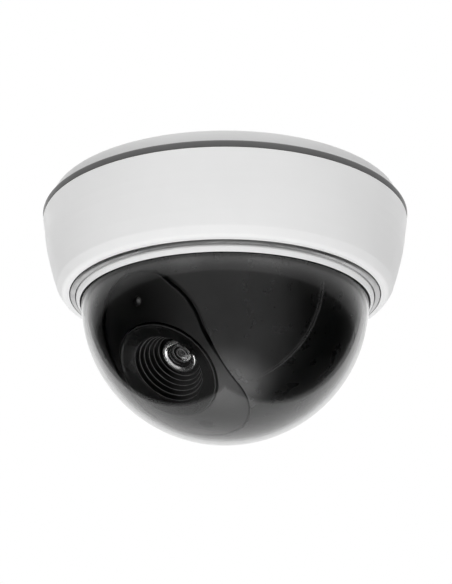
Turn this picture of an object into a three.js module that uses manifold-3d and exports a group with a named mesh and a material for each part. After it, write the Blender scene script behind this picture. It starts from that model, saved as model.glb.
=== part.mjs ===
// Ceiling dome camera. Millimetres, +Z up. The origin is the centre of the face that meets the ceiling;
// the camera hangs below it and looks towards -Y and down.
import * as THREE from 'three';
import { mergeVertices } from 'three/addons/utils/BufferGeometryUtils.js';
import Module from 'manifold-3d';

const wasm = await Module();
wasm.setup();

// ---- Driving dimensions ------------------------------------------------------------------------------
const TURN = 2 * Math.PI;
const deg = THREE.MathUtils.degToRad;

const ROUND = 32;              // sides of a large turned piece
const SMALL_ROUND = 20;        // sides of a lens-sized turned piece
const SCREW_ROUND = 8;         // sides of a screw
const DOME_STEPS = 8;          // facets of the dome from its bottom to its widest line
const SHROUD_STEPS = 9;        // facets of the ball from its bottom to its rim

const GAP = 0.3;               // clearance between neighbours
const RUN = 0.1;               // radial clearance of a turning fit
const SEAT = 0.05;             // clearance where one piece bears on another
const THREAD_GAP = 0.2;        // a threaded hole is this much larger in radius than its screw
const HOLE_GAP = 0.35;         // a plain screw hole, likewise
const OVER = 1;                // how far a cutting tool reaches past what it cuts

const BASE_R = 62.4;           // visible edge of the base plate
const BASE_LIP = 4.7;          // height of that edge
const FLOOR_T = 2.5;
const SKIRT_R = 60.5;
const SKIRT_T = 2;
const SKIRT_Z = -14;
const HUB_R = 19.5;            // hub that the turntable runs on
const HUB_BORE_R = 15.5;
const HUB_SHOULDER_R = 23;
const HUB_SHOULDER_Z = -6.6;
const HUB_Z = -10.3;

const FIXING_R = 51.5;         // circle of the keyholes
const KEYHOLE_ANGLES = [30, 150, 270];
const KEYHOLE_HEAD_R = 4.2;
const KEYHOLE_SLOT_R = 2.3;
const KEYHOLE_TRAVEL = 8;
const INLET_R = 7.2;           // cable inlet in the floor of the base
const INLET_PLACE = [0, 49.5];
const CABLE_R = 4;
const GROMMET_LIP = 1;         // the grommet's flange stands out this far round the inlet

const RETAINER_ANGLES = [90, 210, 330];   // ring that holds the turntable up on the hub
const RETAINER_SCREW_R = 17.5;
const RETAINER_R = 24;
const RETAINER_TOP_Z = HUB_Z - SEAT;
const RETAINER_T = 1.6;
const WASHER_R = 23.1;
const WASHER_T = 0.24;
const WASHER_SWING = 0.35;     // rise and fall of the wave
const CLIP_ANGLES = [0, 120, 240];
const CLIP_T = 0.5;
const CLIP_WIDTH = 8;
const CLIP_TOP_Z = -8.5;

const BAND_TOP_Z = -5.05;      // dark band on top of the housing
const BAND_R = 65.45;
const BAND_BOTTOM_Z = -7.2;
const SPIGOT_R = 62.5;         // the band's skirt, inside the housing's mouth
const SPIGOT_Z = -9.3;
const SPIGOT_T = 0.45;
const HOUSING_TOP_Z = -7.3;
const HOUSING_BOTTOM_Z = -35.3;
// The housing's outer side, top edge to underside: a slightly bowed taper and a round corner.
const HOUSING_SIDE = [[65.2, HOUSING_TOP_Z], [64.1, -15.3], [62.2, -23.3], [60, -31], [59, -33.4],
  [57.3, -34.9], [55.6, HOUSING_BOTTOM_Z]];
const MOUTH_R = 54.9;          // opening in the housing's underside
const WALL = 2.2;
const CLAMP_PCD_R = 56.3;      // circle of the three screws that clamp the dome
const CLAMP_ANGLES = [90, 210, 330];
const CLAMP_BOSS_R = 1.6;
const CLAMP_Z = -29.4;         // underside of the ring that clamps the dome's flange
const CLAMP_T = 2;
const CLAMP_INNER_R = 50;
const CLAMP_OUTER_R = 57.8;
const TRIM_INNER_R = 52.8;     // bright ring in the housing's mouth
const TRIM_OUTER_R = 54.6;
const TRIM_TOP_Z = -33.3;
const TRIM_BOTTOM_Z = -36.3;
const RING_INNER_R = 51.1;     // white ring that carries the dome
const RING_OUTER_R = 52.5;
const RING_BOTTOM_Z = -38;
const RING_FLANGE_Z = -33;
const RING_TOP_Z = -31.9;

const BALL_Z = -35.95;         // common centre of dome and ball
const DOME_R = 50.8;
const DOME_T = 1.3;
const DOME_FLANGE_R = 57.3;
const DOME_FLANGE_Z = -30.8;
const DOME_TOP_Z = -29.5;

const SHROUD_R = 48.7;         // black ball
const SHROUD_T = 1.6;
const SHROUD_RIM = 14;         // height of the ball's open rim above its centre
const LENS_PITCH = 47.5;       // degrees that the lens looks below the horizon
const LOBE_CAP_R = 21.2;       // face plate outline: two half circles and two straight sides
const LOBE_STRAIGHT = 11.8;
const FACE_R = 48.2;
const FACE_BACK_R = 45.2;
const FACE_HOLE_R = 18.2;
const LED_R = 1.2;
const LED_ANGLE = 31.5;        // above the lens axis, seen from the ball's centre
const WINDOW_R = 2.45;
const WINDOW_ANGLE = -30.5;
const AIM = deg(90 + LENS_PITCH);   // turn about X that brings +Z onto the lens axis
const LENS_SIDE = [20, 60];    // reach of a tool that goes out through the ball's wall

const TABLE_R = 44;            // turntable
const TABLE_TOP_Z = -6.9;
const TABLE_T = 2.2;
const TABLE_Z = TABLE_TOP_Z - TABLE_T;
const FOOT_SCREW_X = 32;
const FOOT_SCREW_Y = 4;
const FOOT_T = 2;
const ARM_X = 42;              // outer face of each yoke arm
const ARM_T = 4;
const ARM_HALF_WIDTH = 7;
const PIVOT_R = 2.05;
const PIVOT_TIP_R = 0.9;
const PIVOT_HEAD_R = 3.4;
const PIVOT_HEAD_T = 1.5;
const TILT_WASHER_R = 4.2;
const BOSS_R = 4;              // ball's bosses for the pivot screws
const BOSS_X = ARM_X + 1;

const BEZEL_RIM_S = 45.4;      // s is the distance from the ball's centre along the lens axis
const BEZEL_R = 17.9;
const HOOD_MOUTH_R = 12.7;
const HOOD_STEPS = 5;
const HOOD_STEP_R = 1;
const HOOD_STEP_S = 1.5;
const LENS_HEAD_R = 6.25;
const LENS_THREAD_R = 5.9;
const LENS_FRONT_S = 36.7;
const LENS_BACK_S = 19.3;
const FLANGE_S = 38.2;         // bezel's flange behind the face plate
const FLANGE_R = 20.2;
const FLANGE_T = 1.5;
const POST = 11.5;
const POST_R = 2.3;
const POST_PLACES = [[POST, POST], [-POST, POST], [-POST, -POST], [POST, -POST]];
const HOLDER_S = 17.2;         // lens holder on the sensor board
const HOLDER_LENGTH = 13.3;
const HOLDER_EAR_X = 11.3;
const LOCK_RING_S = 31;
const BOARD = 28;
const BOARD_T = 1.5;
const SENSOR_BOARD_S = 15.4;
const PROCESSOR_BOARD_S = 5.5;

const RETAINER_SCREW = { shank: 1, length: 6, head: 1.9, headHeight: 1.3 };
const CLAMP_SCREW = { shank: 0.8, length: 4.5, head: 1.3, headHeight: 1.2 };
const YOKE_SCREW = { shank: 0.9, length: 3.6, head: 1.9, headHeight: 1.2 };
const BOARD_SCREW = { shank: 0.9, length: 4.5, head: 1.9, headHeight: 1.2 };
const HOLDER_SCREW = { shank: 0.7, length: 3.4, head: 1.5, headHeight: 1 };

// ---- Materials ---------------------------------------------------------------------------------------
const finish = (color, roughness, metalness, more = {}) => ({ color, roughness, metalness, ...more });
const WHITE_PLASTIC = finish(0xebebe9, 0.42, 0);
const BASE_PLASTIC = finish(0xdededc, 0.5, 0);
const BAND_METAL = finish(0x6a6a6a, 0.38, 0.6);
const CHROME = finish(0xb9b9b9, 0.15, 1);
const SMOKED = finish(0x141414, 0.05, 0, { transparent: true, opacity: 0.6 });
const BLACK_PLASTIC = finish(0x161616, 0.45, 0);
const BLACK_METAL = finish(0x1b1b1c, 0.35, 0.7);
const RUBBER = finish(0x202020, 0.85, 0);
const STEEL = finish(0xb4b4b2, 0.3, 1);
const ALUMINIUM = finish(0xa9abad, 0.4, 1);
const NYLON = finish(0xe2dfd2, 0.6, 0);
const GLASS = finish(0xe8eef0, 0.02, 0, { transparent: true, opacity: 0.35 });
const CIRCUIT_BOARD = finish(0x1d5a35, 0.5, 0);
const CHIP = finish(0x222224, 0.5, 0);
const LED_CLEAR = finish(0xd8d8d2, 0.2, 0);

// ---- Solids ------------------------------------------------------------------------------------------
// A closed three.js geometry as a manifold solid, for joining and cutting.
function solid(geometry) {
  const bare = geometry.clone();
  bare.deleteAttribute('normal');
  bare.deleteAttribute('uv');
  const merged = mergeVertices(bare, 1e-4);
  return new wasm.Manifold(new wasm.Mesh({
    numProp: 3,
    vertProperties: merged.attributes.position.array,
    triVerts: new Uint32Array(merged.index.array),
  }));
}

// A manifold solid back as a three.js geometry.
function shape(manifold) {
  const { vertProperties, triVerts } = manifold.getMesh();
  const geometry = new THREE.BufferGeometry();
  geometry.setAttribute('position', new THREE.BufferAttribute(vertProperties, 3));
  geometry.setIndex(new THREE.BufferAttribute(triVerts, 1));
  geometry.computeVertexNormals();
  return geometry;
}

const cut = (body, ...tools) => shape(
  tools.reduce((rest, tool) => rest.subtract(solid(tool)), solid(body)));
const join = (body, ...parts) => shape(parts.reduce((all, part) => all.add(solid(part)), solid(body)));
const overlap = (a, b) => shape(solid(a).intersect(solid(b)));

// A turned solid about Z. The outline is [radius, z] points; it starts and ends on the axis, or is a ring.
function turned(outline, sides = ROUND) {
  const points = outline.map(([radius, z]) => new THREE.Vector2(radius, z));
  const onAxis = points[0].x === 0 && points[points.length - 1].x === 0;
  if (!onAxis) points.push(points[0].clone());
  if (THREE.ShapeUtils.area(points) < 0) points.reverse();
  const geometry = new THREE.LatheGeometry(points, sides);
  geometry.rotateX(Math.PI / 2);
  return geometry;
}

// A ring of rectangular section.
const ring = (inner, outer, bottom, top, sides = ROUND) => turned(
  [[inner, bottom], [outer, bottom], [outer, top], [inner, top]], sides);

// A round rod along Z.
const rod = (radius, bottom, top, sides = SCREW_ROUND) => turned(
  [[0, bottom], [radius, bottom], [radius, top], [0, top]], sides);

// Points of an arc about [radius 0, z centre], angles in degrees above the horizontal.
function arc(radius, from, to, steps, centre = 0) {
  return Array.from({ length: steps + 1 }, (_, i) => {
    const angle = deg(from + (to - from) * i / steps);
    const across = Math.abs(angle) === Math.PI / 2 ? 0 : radius * Math.cos(angle);
    return [across, centre + radius * Math.sin(angle)];
  });
}

// A box from its lowest to its highest corner.
function block(low, high) {
  const size = high.map((value, i) => value - low[i]);
  return new THREE.BoxGeometry(...size).translate(...low.map((value, i) => value + size[i] / 2));
}

// A flat outline of two half circles and two straight sides along Y, raised from bottom to top.
function stadium(capRadius, halfStraight, bottom, top) {
  const outline = new THREE.Shape();
  outline.absarc(0, halfStraight, capRadius, 0, Math.PI);
  outline.absarc(0, -halfStraight, capRadius, Math.PI, TURN);
  const options = { depth: top - bottom, bevelEnabled: false, curveSegments: 8 };
  return new THREE.ExtrudeGeometry(outline, options).translate(0, 0, bottom);
}

// A strip of sheet metal bent along a path of [x, y] points, raised from 0 to width.
function bentStrip(path, thickness, width) {
  const points = path.map(([x, y]) => new THREE.Vector2(x, y));
  const side = points.map((point, i) => {
    const before = points[Math.max(i - 1, 0)];
    const after = points[Math.min(i + 1, points.length - 1)];
    const into = point.clone().sub(before).normalize();
    const out = after.clone().sub(point).normalize();
    const along = into.clone().add(out).normalize();
    const spread = i === 0 || i === points.length - 1 ? 1 : 1 / Math.max(along.dot(out), 0.5);
    return new THREE.Vector2(-along.y, along.x).multiplyScalar(spread * thickness / 2);
  });
  const left = points.map((point, i) => point.clone().add(side[i]));
  const right = points.map((point, i) => point.clone().sub(side[i]));
  const outline = new THREE.Shape([...left, ...right.reverse()]);
  return new THREE.ExtrudeGeometry(outline, { depth: width, bevelEnabled: false });
}

// A slotted screw along Z, head at the bottom, its seat at z = 0.
function screw({ shank, length, head, headHeight }) {
  const body = turned([[0, length], [shank, length], [shank, 0], [head, 0], [head * 0.9, -headHeight],
    [0, -headHeight]], SCREW_ROUND);
  const slot = head * 0.16;
  return cut(body, block([-head - OVER, -slot, -headHeight - OVER], [head + OVER, slot, -headHeight / 2]));
}

const threadFor = ({ shank }, bottom, top) => rod(shank + THREAD_GAP, bottom, top);
const holeFor = ({ shank }, bottom, top) => rod(shank + HOLE_GAP, bottom - OVER, top + OVER);

const onCircle = (radius, degrees) => [radius * Math.cos(deg(degrees)), radius * Math.sin(deg(degrees))];

function piece(name, geometry, material) {
  const mesh = new THREE.Mesh(geometry, new THREE.MeshStandardMaterial(material));
  mesh.name = name;
  return mesh;
}

function placed(mesh, x, y, z) {
  mesh.position.set(x, y, z);
  return mesh;
}

function group(...members) {
  return new THREE.Group().add(...members);
}

// ---- Base: stays on the ceiling ----------------------------------------------------------------------
function mountBase() {
  const body = turned([[0, 0], [BASE_R - 0.6, 0], [BASE_R, -0.6], [BASE_R + 0.4, -BASE_LIP],
    [SKIRT_R, -BASE_LIP], [SKIRT_R, SKIRT_Z], [SKIRT_R - SKIRT_T, SKIRT_Z], [SKIRT_R - SKIRT_T, -FLOOR_T],
    [HUB_SHOULDER_R, -FLOOR_T], [HUB_SHOULDER_R, HUB_SHOULDER_Z], [HUB_R, HUB_SHOULDER_Z], [HUB_R, HUB_Z],
    [HUB_BORE_R, HUB_Z], [HUB_BORE_R, -FLOOR_T], [0, -FLOOR_T]]);
  const through = [-FLOOR_T - OVER, OVER];
  const keyholes = KEYHOLE_ANGLES.flatMap((angle) => {
    const head = rod(KEYHOLE_HEAD_R, ...through, 12).translate(FIXING_R, 0, 0);
    const slot = rod(KEYHOLE_SLOT_R, ...through, 12).translate(FIXING_R, KEYHOLE_TRAVEL, 0);
    const track = block([FIXING_R - KEYHOLE_SLOT_R, 0, through[0]],
      [FIXING_R + KEYHOLE_SLOT_R, KEYHOLE_TRAVEL, through[1]]);
    return [head, slot, track].map((tool) => tool.rotateZ(deg(angle)));
  });
  const inlet = rod(INLET_R, ...through, 16).translate(...INLET_PLACE, 0);
  const threads = RETAINER_ANGLES.map((angle) => threadFor(RETAINER_SCREW, HUB_Z - OVER, HUB_Z + 5)
    .translate(...onCircle(RETAINER_SCREW_R, angle), 0));
  return piece('mount_base', cut(body, ...keyholes, inlet, ...threads), BASE_PLASTIC);
}

function cableGrommet() {
  const lip = INLET_R + GROMMET_LIP;
  const neck = INLET_R - 0.2;
  const bottom = -FLOOR_T - 1.4;
  const outline = [[CABLE_R, bottom], [lip, bottom], [lip, -FLOOR_T - SEAT], [neck, -FLOOR_T - SEAT],
    [neck, -0.2], [CABLE_R, -0.2]];
  return placed(piece('cable_grommet', turned(outline, 16), RUBBER), ...INLET_PLACE, 0);
}

// Thin ring that rises and falls three times round, pressing the turntable up to the hub's shoulder.
function panWaveWasher() {
  const middle = (TABLE_Z + RETAINER_TOP_Z) / 2;
  const geometry = ring(HUB_R + 0.25, WASHER_R, middle - WASHER_T / 2, middle + WASHER_T / 2, 24);
  const position = geometry.attributes.position;
  for (let i = 0; i < position.count; i += 1) {
    const angle = Math.atan2(position.getY(i), position.getX(i));
    position.setZ(i, position.getZ(i) + WASHER_SWING * Math.cos(3 * angle));
  }
  return piece('pan_wave_washer', geometry, STEEL);
}

function panRetainer() {
  const bottom = RETAINER_TOP_Z - RETAINER_T;
  const plate = ring(HUB_BORE_R, RETAINER_R, bottom, RETAINER_TOP_Z);
  const holes = RETAINER_ANGLES.map((angle) => holeFor(RETAINER_SCREW, bottom, RETAINER_TOP_Z)
    .translate(...onCircle(RETAINER_SCREW_R, angle), 0));
  const screws = RETAINER_ANGLES.map((angle, i) => placed(
    piece(`retainer_screw_${i + 1}`, screw(RETAINER_SCREW), STEEL),
    ...onCircle(RETAINER_SCREW_R, angle), bottom - SEAT));
  return [piece('pan_retainer_ring', cut(plate, ...holes), BLACK_PLASTIC), ...screws];
}

// Spring clips hooked over the skirt's lower edge; their bowed outer legs grip the housing's inner wall.
function coverClips() {
  const inside = SKIRT_R - SKIRT_T - 0.85;
  const bend = SKIRT_Z - 0.6;
  const path = [[inside, CLIP_TOP_Z - 1], [inside, bend], [SKIRT_R + 0.5, bend],
    [SKIRT_R + 0.75, (bend + CLIP_TOP_Z) / 2], [SKIRT_R + 0.4, CLIP_TOP_Z]];
  return CLIP_ANGLES.map((angle, i) => {
    const strip = bentStrip(path, CLIP_T, CLIP_WIDTH).rotateX(Math.PI / 2).translate(0, CLIP_WIDTH / 2, 0);
    const clip = piece(`cover_clip_${i + 1}`, strip, STEEL);
    clip.rotation.z = deg(angle);
    return clip;
  });
}

function base() {
  return group(mountBase(), cableGrommet(), panWaveWasher(), ...panRetainer(), ...coverClips());
}

// ---- Cover: housing, rings and dome ------------------------------------------------------------------
function upperTrimRing() {
  const inside = SPIGOT_R - SPIGOT_T;
  return piece('upper_trim_ring', turned([[inside, BAND_TOP_Z], [BAND_R - 0.3, BAND_TOP_Z],
    [BAND_R, BAND_TOP_Z - 0.3], [BAND_R - 0.45, BAND_BOTTOM_Z], [SPIGOT_R, BAND_BOTTOM_Z],
    [SPIGOT_R, SPIGOT_Z], [inside, SPIGOT_Z]]), BAND_METAL);
}

function housingShell() {
  const panelTop = HOUSING_BOTTOM_Z + WALL;
  const inner = HOUSING_SIDE.filter(([, z]) => z > panelTop).map(([radius, z]) => [radius - WALL, z]);
  const body = turned([...HOUSING_SIDE, [MOUTH_R, HOUSING_BOTTOM_Z], [MOUTH_R, panelTop],
    [inner[inner.length - 1][0] - 0.15, panelTop], ...inner.reverse()]);
  const bosses = CLAMP_ANGLES.map((angle) => rod(CLAMP_BOSS_R, panelTop - 0.3, CLAMP_Z - GAP)
    .translate(...onCircle(CLAMP_PCD_R, angle), 0));
  const threads = CLAMP_ANGLES.map((angle) => threadFor(CLAMP_SCREW, panelTop, CLAMP_Z + OVER)
    .translate(...onCircle(CLAMP_PCD_R, angle), 0));
  return piece('housing_shell', cut(join(body, ...bosses), ...threads), WHITE_PLASTIC);
}

// Notches that let a flange past the three screw bosses.
function notched(geometry, bottom, top) {
  return cut(geometry, ...CLAMP_ANGLES.map((angle) => rod(CLAMP_BOSS_R + 0.5, bottom - OVER, top + OVER)
    .translate(...onCircle(CLAMP_PCD_R, angle), 0)));
}

function lowerTrimRing() {
  return piece('lower_trim_ring', turned([[TRIM_INNER_R, TRIM_TOP_Z], [TRIM_OUTER_R, TRIM_TOP_Z],
    [TRIM_OUTER_R, HOUSING_BOTTOM_Z - SEAT], [TRIM_OUTER_R - 0.4, HOUSING_BOTTOM_Z - 0.35],
    [TRIM_INNER_R, TRIM_BOTTOM_Z]]), CHROME);
}

function domeRetainingRing() {
  const body = turned([[RING_INNER_R, RING_TOP_Z], [RING_INNER_R, RING_BOTTOM_Z],
    [RING_INNER_R + 0.5, RING_BOTTOM_Z + SEAT], [RING_OUTER_R, TRIM_BOTTOM_Z - 0.2],
    [RING_OUTER_R, RING_FLANGE_Z], [DOME_FLANGE_R, RING_FLANGE_Z], [DOME_FLANGE_R, RING_TOP_Z]]);
  return piece('dome_retaining_ring', notched(body, RING_FLANGE_Z, RING_TOP_Z), WHITE_PLASTIC);
}

function smokedDome() {
  const inside = DOME_R - DOME_T;
  const body = turned([...arc(DOME_R, -90, 0, DOME_STEPS, BALL_Z), [DOME_R, DOME_FLANGE_Z],
    [DOME_FLANGE_R, DOME_FLANGE_Z], [DOME_FLANGE_R, DOME_TOP_Z], [inside, DOME_TOP_Z],
    ...arc(inside, 0, -90, DOME_STEPS, BALL_Z)]);
  return piece('smoked_dome', notched(body, DOME_FLANGE_Z, DOME_TOP_Z), SMOKED);
}

function domeClamp() {
  const top = CLAMP_Z + CLAMP_T;
  const plate = ring(CLAMP_INNER_R, CLAMP_OUTER_R, CLAMP_Z, top);
  const holes = CLAMP_ANGLES.map((angle) => holeFor(CLAMP_SCREW, CLAMP_Z, top)
    .translate(...onCircle(CLAMP_PCD_R, angle), 0));
  const screws = CLAMP_ANGLES.map((angle, i) => {
    const mesh = piece(`clamp_screw_${i + 1}`, screw(CLAMP_SCREW), STEEL);
    mesh.rotation.x = Math.PI;
    return placed(mesh, ...onCircle(CLAMP_PCD_R, angle), top + SEAT);
  });
  return [piece('dome_clamp_ring', cut(plate, ...holes), BLACK_PLASTIC), ...screws];
}

function cover() {
  const heights = [RING_TOP_Z + RUN, DOME_FLANGE_Z - RUN];
  const seal = ring(RING_INNER_R + 0.2, DOME_FLANGE_R - RUN, ...heights);
  return group(upperTrimRing(), housingShell(), lowerTrimRing(), domeRetainingRing(),
    piece('dome_gasket', notched(seal, ...heights), RUBBER), smokedDome(), ...domeClamp());
}

// ---- Pan stage: turntable and yoke -------------------------------------------------------------------
function panTurntable() {
  const body = ring(HUB_R + RUN, TABLE_R, TABLE_Z, TABLE_TOP_Z);
  const threads = [-1, 1].flatMap((x) => [-1, 1].map((y) => threadFor(YOKE_SCREW, TABLE_Z - OVER,
    TABLE_TOP_Z + OVER).translate(x * FOOT_SCREW_X, y * FOOT_SCREW_Y, 0)));
  return piece('pan_turntable', cut(body, ...threads), BLACK_PLASTIC);
}

// One arm of the yoke: a foot under the turntable and a leg down to the tilt pivot. side is -1 or 1.
function yokeArm(name, side) {
  const top = TABLE_Z - SEAT;
  const leg = block([ARM_X - ARM_T, -ARM_HALF_WIDTH, BALL_Z], [ARM_X, ARM_HALF_WIDTH, top]);
  const end = rod(ARM_HALF_WIDTH, ARM_X - ARM_T, ARM_X, 20).rotateY(Math.PI / 2).translate(0, 0, BALL_Z);
  const foot = block([FOOT_SCREW_X - 4, -ARM_HALF_WIDTH, top - FOOT_T], [ARM_X, ARM_HALF_WIDTH, top]);
  const pivot = rod(PIVOT_R + RUN, ARM_X - ARM_T - OVER, ARM_X + OVER, 16).rotateY(Math.PI / 2)
    .translate(0, 0, BALL_Z);
  const holes = [-1, 1].map((y) => holeFor(YOKE_SCREW, top - FOOT_T, top)
    .translate(FOOT_SCREW_X, y * FOOT_SCREW_Y, 0));
  const arm = piece(name, cut(join(leg, end, foot), pivot, ...holes), BLACK_PLASTIC);
  arm.rotation.z = side < 0 ? Math.PI : 0;
  return arm;
}

function yokeScrews() {
  const places = [[1, 1], [1, -1], [-1, 1], [-1, -1]];
  return places.map(([x, y], i) => placed(piece(`yoke_screw_${i + 1}`, screw(YOKE_SCREW), STEEL),
    x * FOOT_SCREW_X, y * FOOT_SCREW_Y, TABLE_Z - FOOT_T - 2 * SEAT));
}

function tiltWasher(name, side) {
  const washer = ring(PIVOT_R + 2 * RUN, TILT_WASHER_R, ARM_X + 0.2, ARM_X + 0.7, 16);
  const mesh = piece(name, washer.rotateY(Math.PI / 2), NYLON);
  mesh.rotation.z = side < 0 ? Math.PI : 0;
  return placed(mesh, 0, 0, BALL_Z);
}

function panStage() {
  return group(panTurntable(), yokeArm('yoke_arm_left', -1), yokeArm('yoke_arm_right', 1), ...yokeScrews(),
    tiltWasher('tilt_washer_left', -1), tiltWasher('tilt_washer_right', 1));
}

// ---- Eye: the black ball, about its own centre -------------------------------------------------------
function innerShroud() {
  const inside = SHROUD_R - SHROUD_T;
  const rimOut = THREE.MathUtils.radToDeg(Math.asin(SHROUD_RIM / SHROUD_R));
  const rimIn = THREE.MathUtils.radToDeg(Math.asin(SHROUD_RIM / inside));
  const ball = turned([...arc(SHROUD_R, -90, rimOut, SHROUD_STEPS),
    ...arc(inside, rimIn, -90, SHROUD_STEPS)]);
  const bosses = [-1, 1].map((side) => rod(BOSS_R, BOSS_X, inside + 0.5, 16).rotateY(side * Math.PI / 2));
  const threads = [-1, 1].map((side) => rod(PIVOT_TIP_R + THREAD_GAP, BOSS_X - OVER, inside - 0.3)
    .rotateY(side * Math.PI / 2));
  const window = stadium(LOBE_CAP_R, LOBE_STRAIGHT, ...LENS_SIDE).rotateX(AIM);
  return piece('inner_shroud', cut(join(ball, ...bosses), ...threads, window), BLACK_PLASTIC);
}

// Oval panel with a flange behind the ball's wall, in lens coordinates.
function facePlate() {
  const flangeR = SHROUD_R - SHROUD_T - 0.7;
  const cap = (outer, inner) => turned([...arc(outer, 38, 69, 3), ...arc(inner, 69, 38, 3)]);
  const front = overlap(cap(FACE_R, FACE_BACK_R), stadium(LOBE_CAP_R - 0.5, LOBE_STRAIGHT, ...LENS_SIDE));
  const flange = overlap(cap(flangeR, FACE_BACK_R), stadium(LOBE_CAP_R + 2, LOBE_STRAIGHT, ...LENS_SIDE));
  const opening = rod(FACE_HOLE_R, ...LENS_SIDE, ROUND);
  const ledHole = rod(LED_R + GAP, ...LENS_SIDE).rotateX(-deg(LED_ANGLE));
  const windowHole = rod(WINDOW_R + GAP, ...LENS_SIDE, 16).rotateX(-deg(WINDOW_ANGLE));
  return piece('face_plate', cut(join(front, flange), opening, ledHole, windowHole), BLACK_PLASTIC);
}

// Shoulder screw that the ball tilts on, its slotted head inside the yoke arm.
function tiltPivot(name, side) {
  const seat = ARM_X - ARM_T - GAP;
  const head = seat - PIVOT_HEAD_T;
  const shoulder = ARM_X + 0.7;
  const tip = ARM_X + 4.5;
  const body = turned([[0, head], [PIVOT_HEAD_R, head], [PIVOT_HEAD_R, seat], [PIVOT_R, seat],
    [PIVOT_R, shoulder], [PIVOT_TIP_R, shoulder], [PIVOT_TIP_R, tip], [0, tip]], 16);
  const slot = block([-PIVOT_HEAD_R - OVER, -0.35, head - OVER],
    [PIVOT_HEAD_R + OVER, 0.35, head + PIVOT_HEAD_T / 2]);
  return piece(name, cut(body, slot).rotateY(side * Math.PI / 2), STEEL);
}

function eye() {
  const back = FACE_BACK_R - 0.6;
  const led = piece('status_led', turned([[0, back], [LED_R, back], [LED_R, FACE_R - 1],
    [LED_R * 0.7, FACE_R - 0.45], [0, FACE_R - 0.25]], SCREW_ROUND), LED_CLEAR);
  led.rotation.x = -deg(LED_ANGLE);
  const sensorWindow = piece('sensor_window', rod(WINDOW_R, FACE_BACK_R + 0.4, FACE_R, 16), CHIP);
  sensorWindow.rotation.x = -deg(WINDOW_ANGLE);
  const aimed = group(facePlate(), led, sensorWindow);
  aimed.rotation.x = AIM;
  return group(innerShroud(), aimed, tiltPivot('tilt_pivot_screw_left', -1),
    tiltPivot('tilt_pivot_screw_right', 1));
}

// ---- Camera module, in lens coordinates: Z runs out along the lens axis from the ball's centre --------
function lensBezel() {
  const inner = HOOD_MOUTH_R + 0.9;
  const front = FLANGE_S + FLANGE_T;
  const lip = BEZEL_RIM_S - 1.3;
  const body = turned([[BEZEL_R, front], [BEZEL_R, BEZEL_RIM_S - 0.3], [BEZEL_R - 0.3, BEZEL_RIM_S],
    [BEZEL_R - 0.9, BEZEL_RIM_S], [HOOD_MOUTH_R, BEZEL_RIM_S - 1], [HOOD_MOUTH_R, lip], [inner, lip],
    [inner, FLANGE_S], [FLANGE_R, FLANGE_S], [FLANGE_R, front]]);
  const bottom = SENSOR_BOARD_S + BOARD_T + GAP;
  const posts = POST_PLACES.map(([x, y]) => rod(POST_R, bottom, FLANGE_S + FLANGE_T / 2)
    .translate(x, y, 0));
  const threads = POST_PLACES.map(([x, y]) => threadFor(BOARD_SCREW, bottom - OVER, bottom + 5)
    .translate(x, y, 0));
  return piece('lens_bezel', cut(join(body, ...posts), ...threads), BLACK_PLASTIC);
}

// Funnel of round steps between the bezel's mouth and the lens.
function lensHood() {
  const front = BEZEL_RIM_S - 1.6;
  const steps = Array.from({ length: HOOD_STEPS }, (_, i) => {
    const radius = HOOD_MOUTH_R - i * HOOD_STEP_R;
    return [[radius, front - i * HOOD_STEP_S], [radius, front - (i + 1) * HOOD_STEP_S]];
  }).flat();
  const back = front - HOOD_STEPS * HOOD_STEP_S - 1.2;
  const outer = HOOD_MOUTH_R + 0.6;
  const throat = LENS_HEAD_R + 1.4;
  return piece('lens_hood', turned([...steps, [throat, front - HOOD_STEPS * HOOD_STEP_S], [throat, back],
    [outer, back], [outer, front]], SMALL_ROUND), BLACK_PLASTIC);
}

function lensHolder() {
  const bore = LENS_THREAD_R + RUN;
  const collar = rod(7.6, HOLDER_S, HOLDER_S + HOLDER_LENGTH, SMALL_ROUND);
  const foot = rod(9.4, HOLDER_S, HOLDER_S + 2, SMALL_ROUND);
  const ears = block([-13.6, -3.4, HOLDER_S], [13.6, 3.4, HOLDER_S + 2]);
  const threads = [-1, 1].map((side) => threadFor(HOLDER_SCREW, HOLDER_S - OVER, HOLDER_S + 3)
    .translate(side * HOLDER_EAR_X, 0, 0));
  const channel = rod(bore, HOLDER_S - OVER, HOLDER_S + HOLDER_LENGTH + OVER, SMALL_ROUND);
  return piece('lens_holder', cut(join(foot, collar, ears), channel, ...threads), BLACK_PLASTIC);
}

function circuitBoard(name, bottom, holes) {
  const half = BOARD / 2;
  const plate = block([-half, -half, bottom], [half, half, bottom + BOARD_T]);
  const tools = holes.map(([x, y]) => holeFor(BOARD_SCREW, bottom, bottom + BOARD_T).translate(x, y, 0));
  return piece(name, cut(plate, ...tools), CIRCUIT_BOARD);
}

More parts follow.
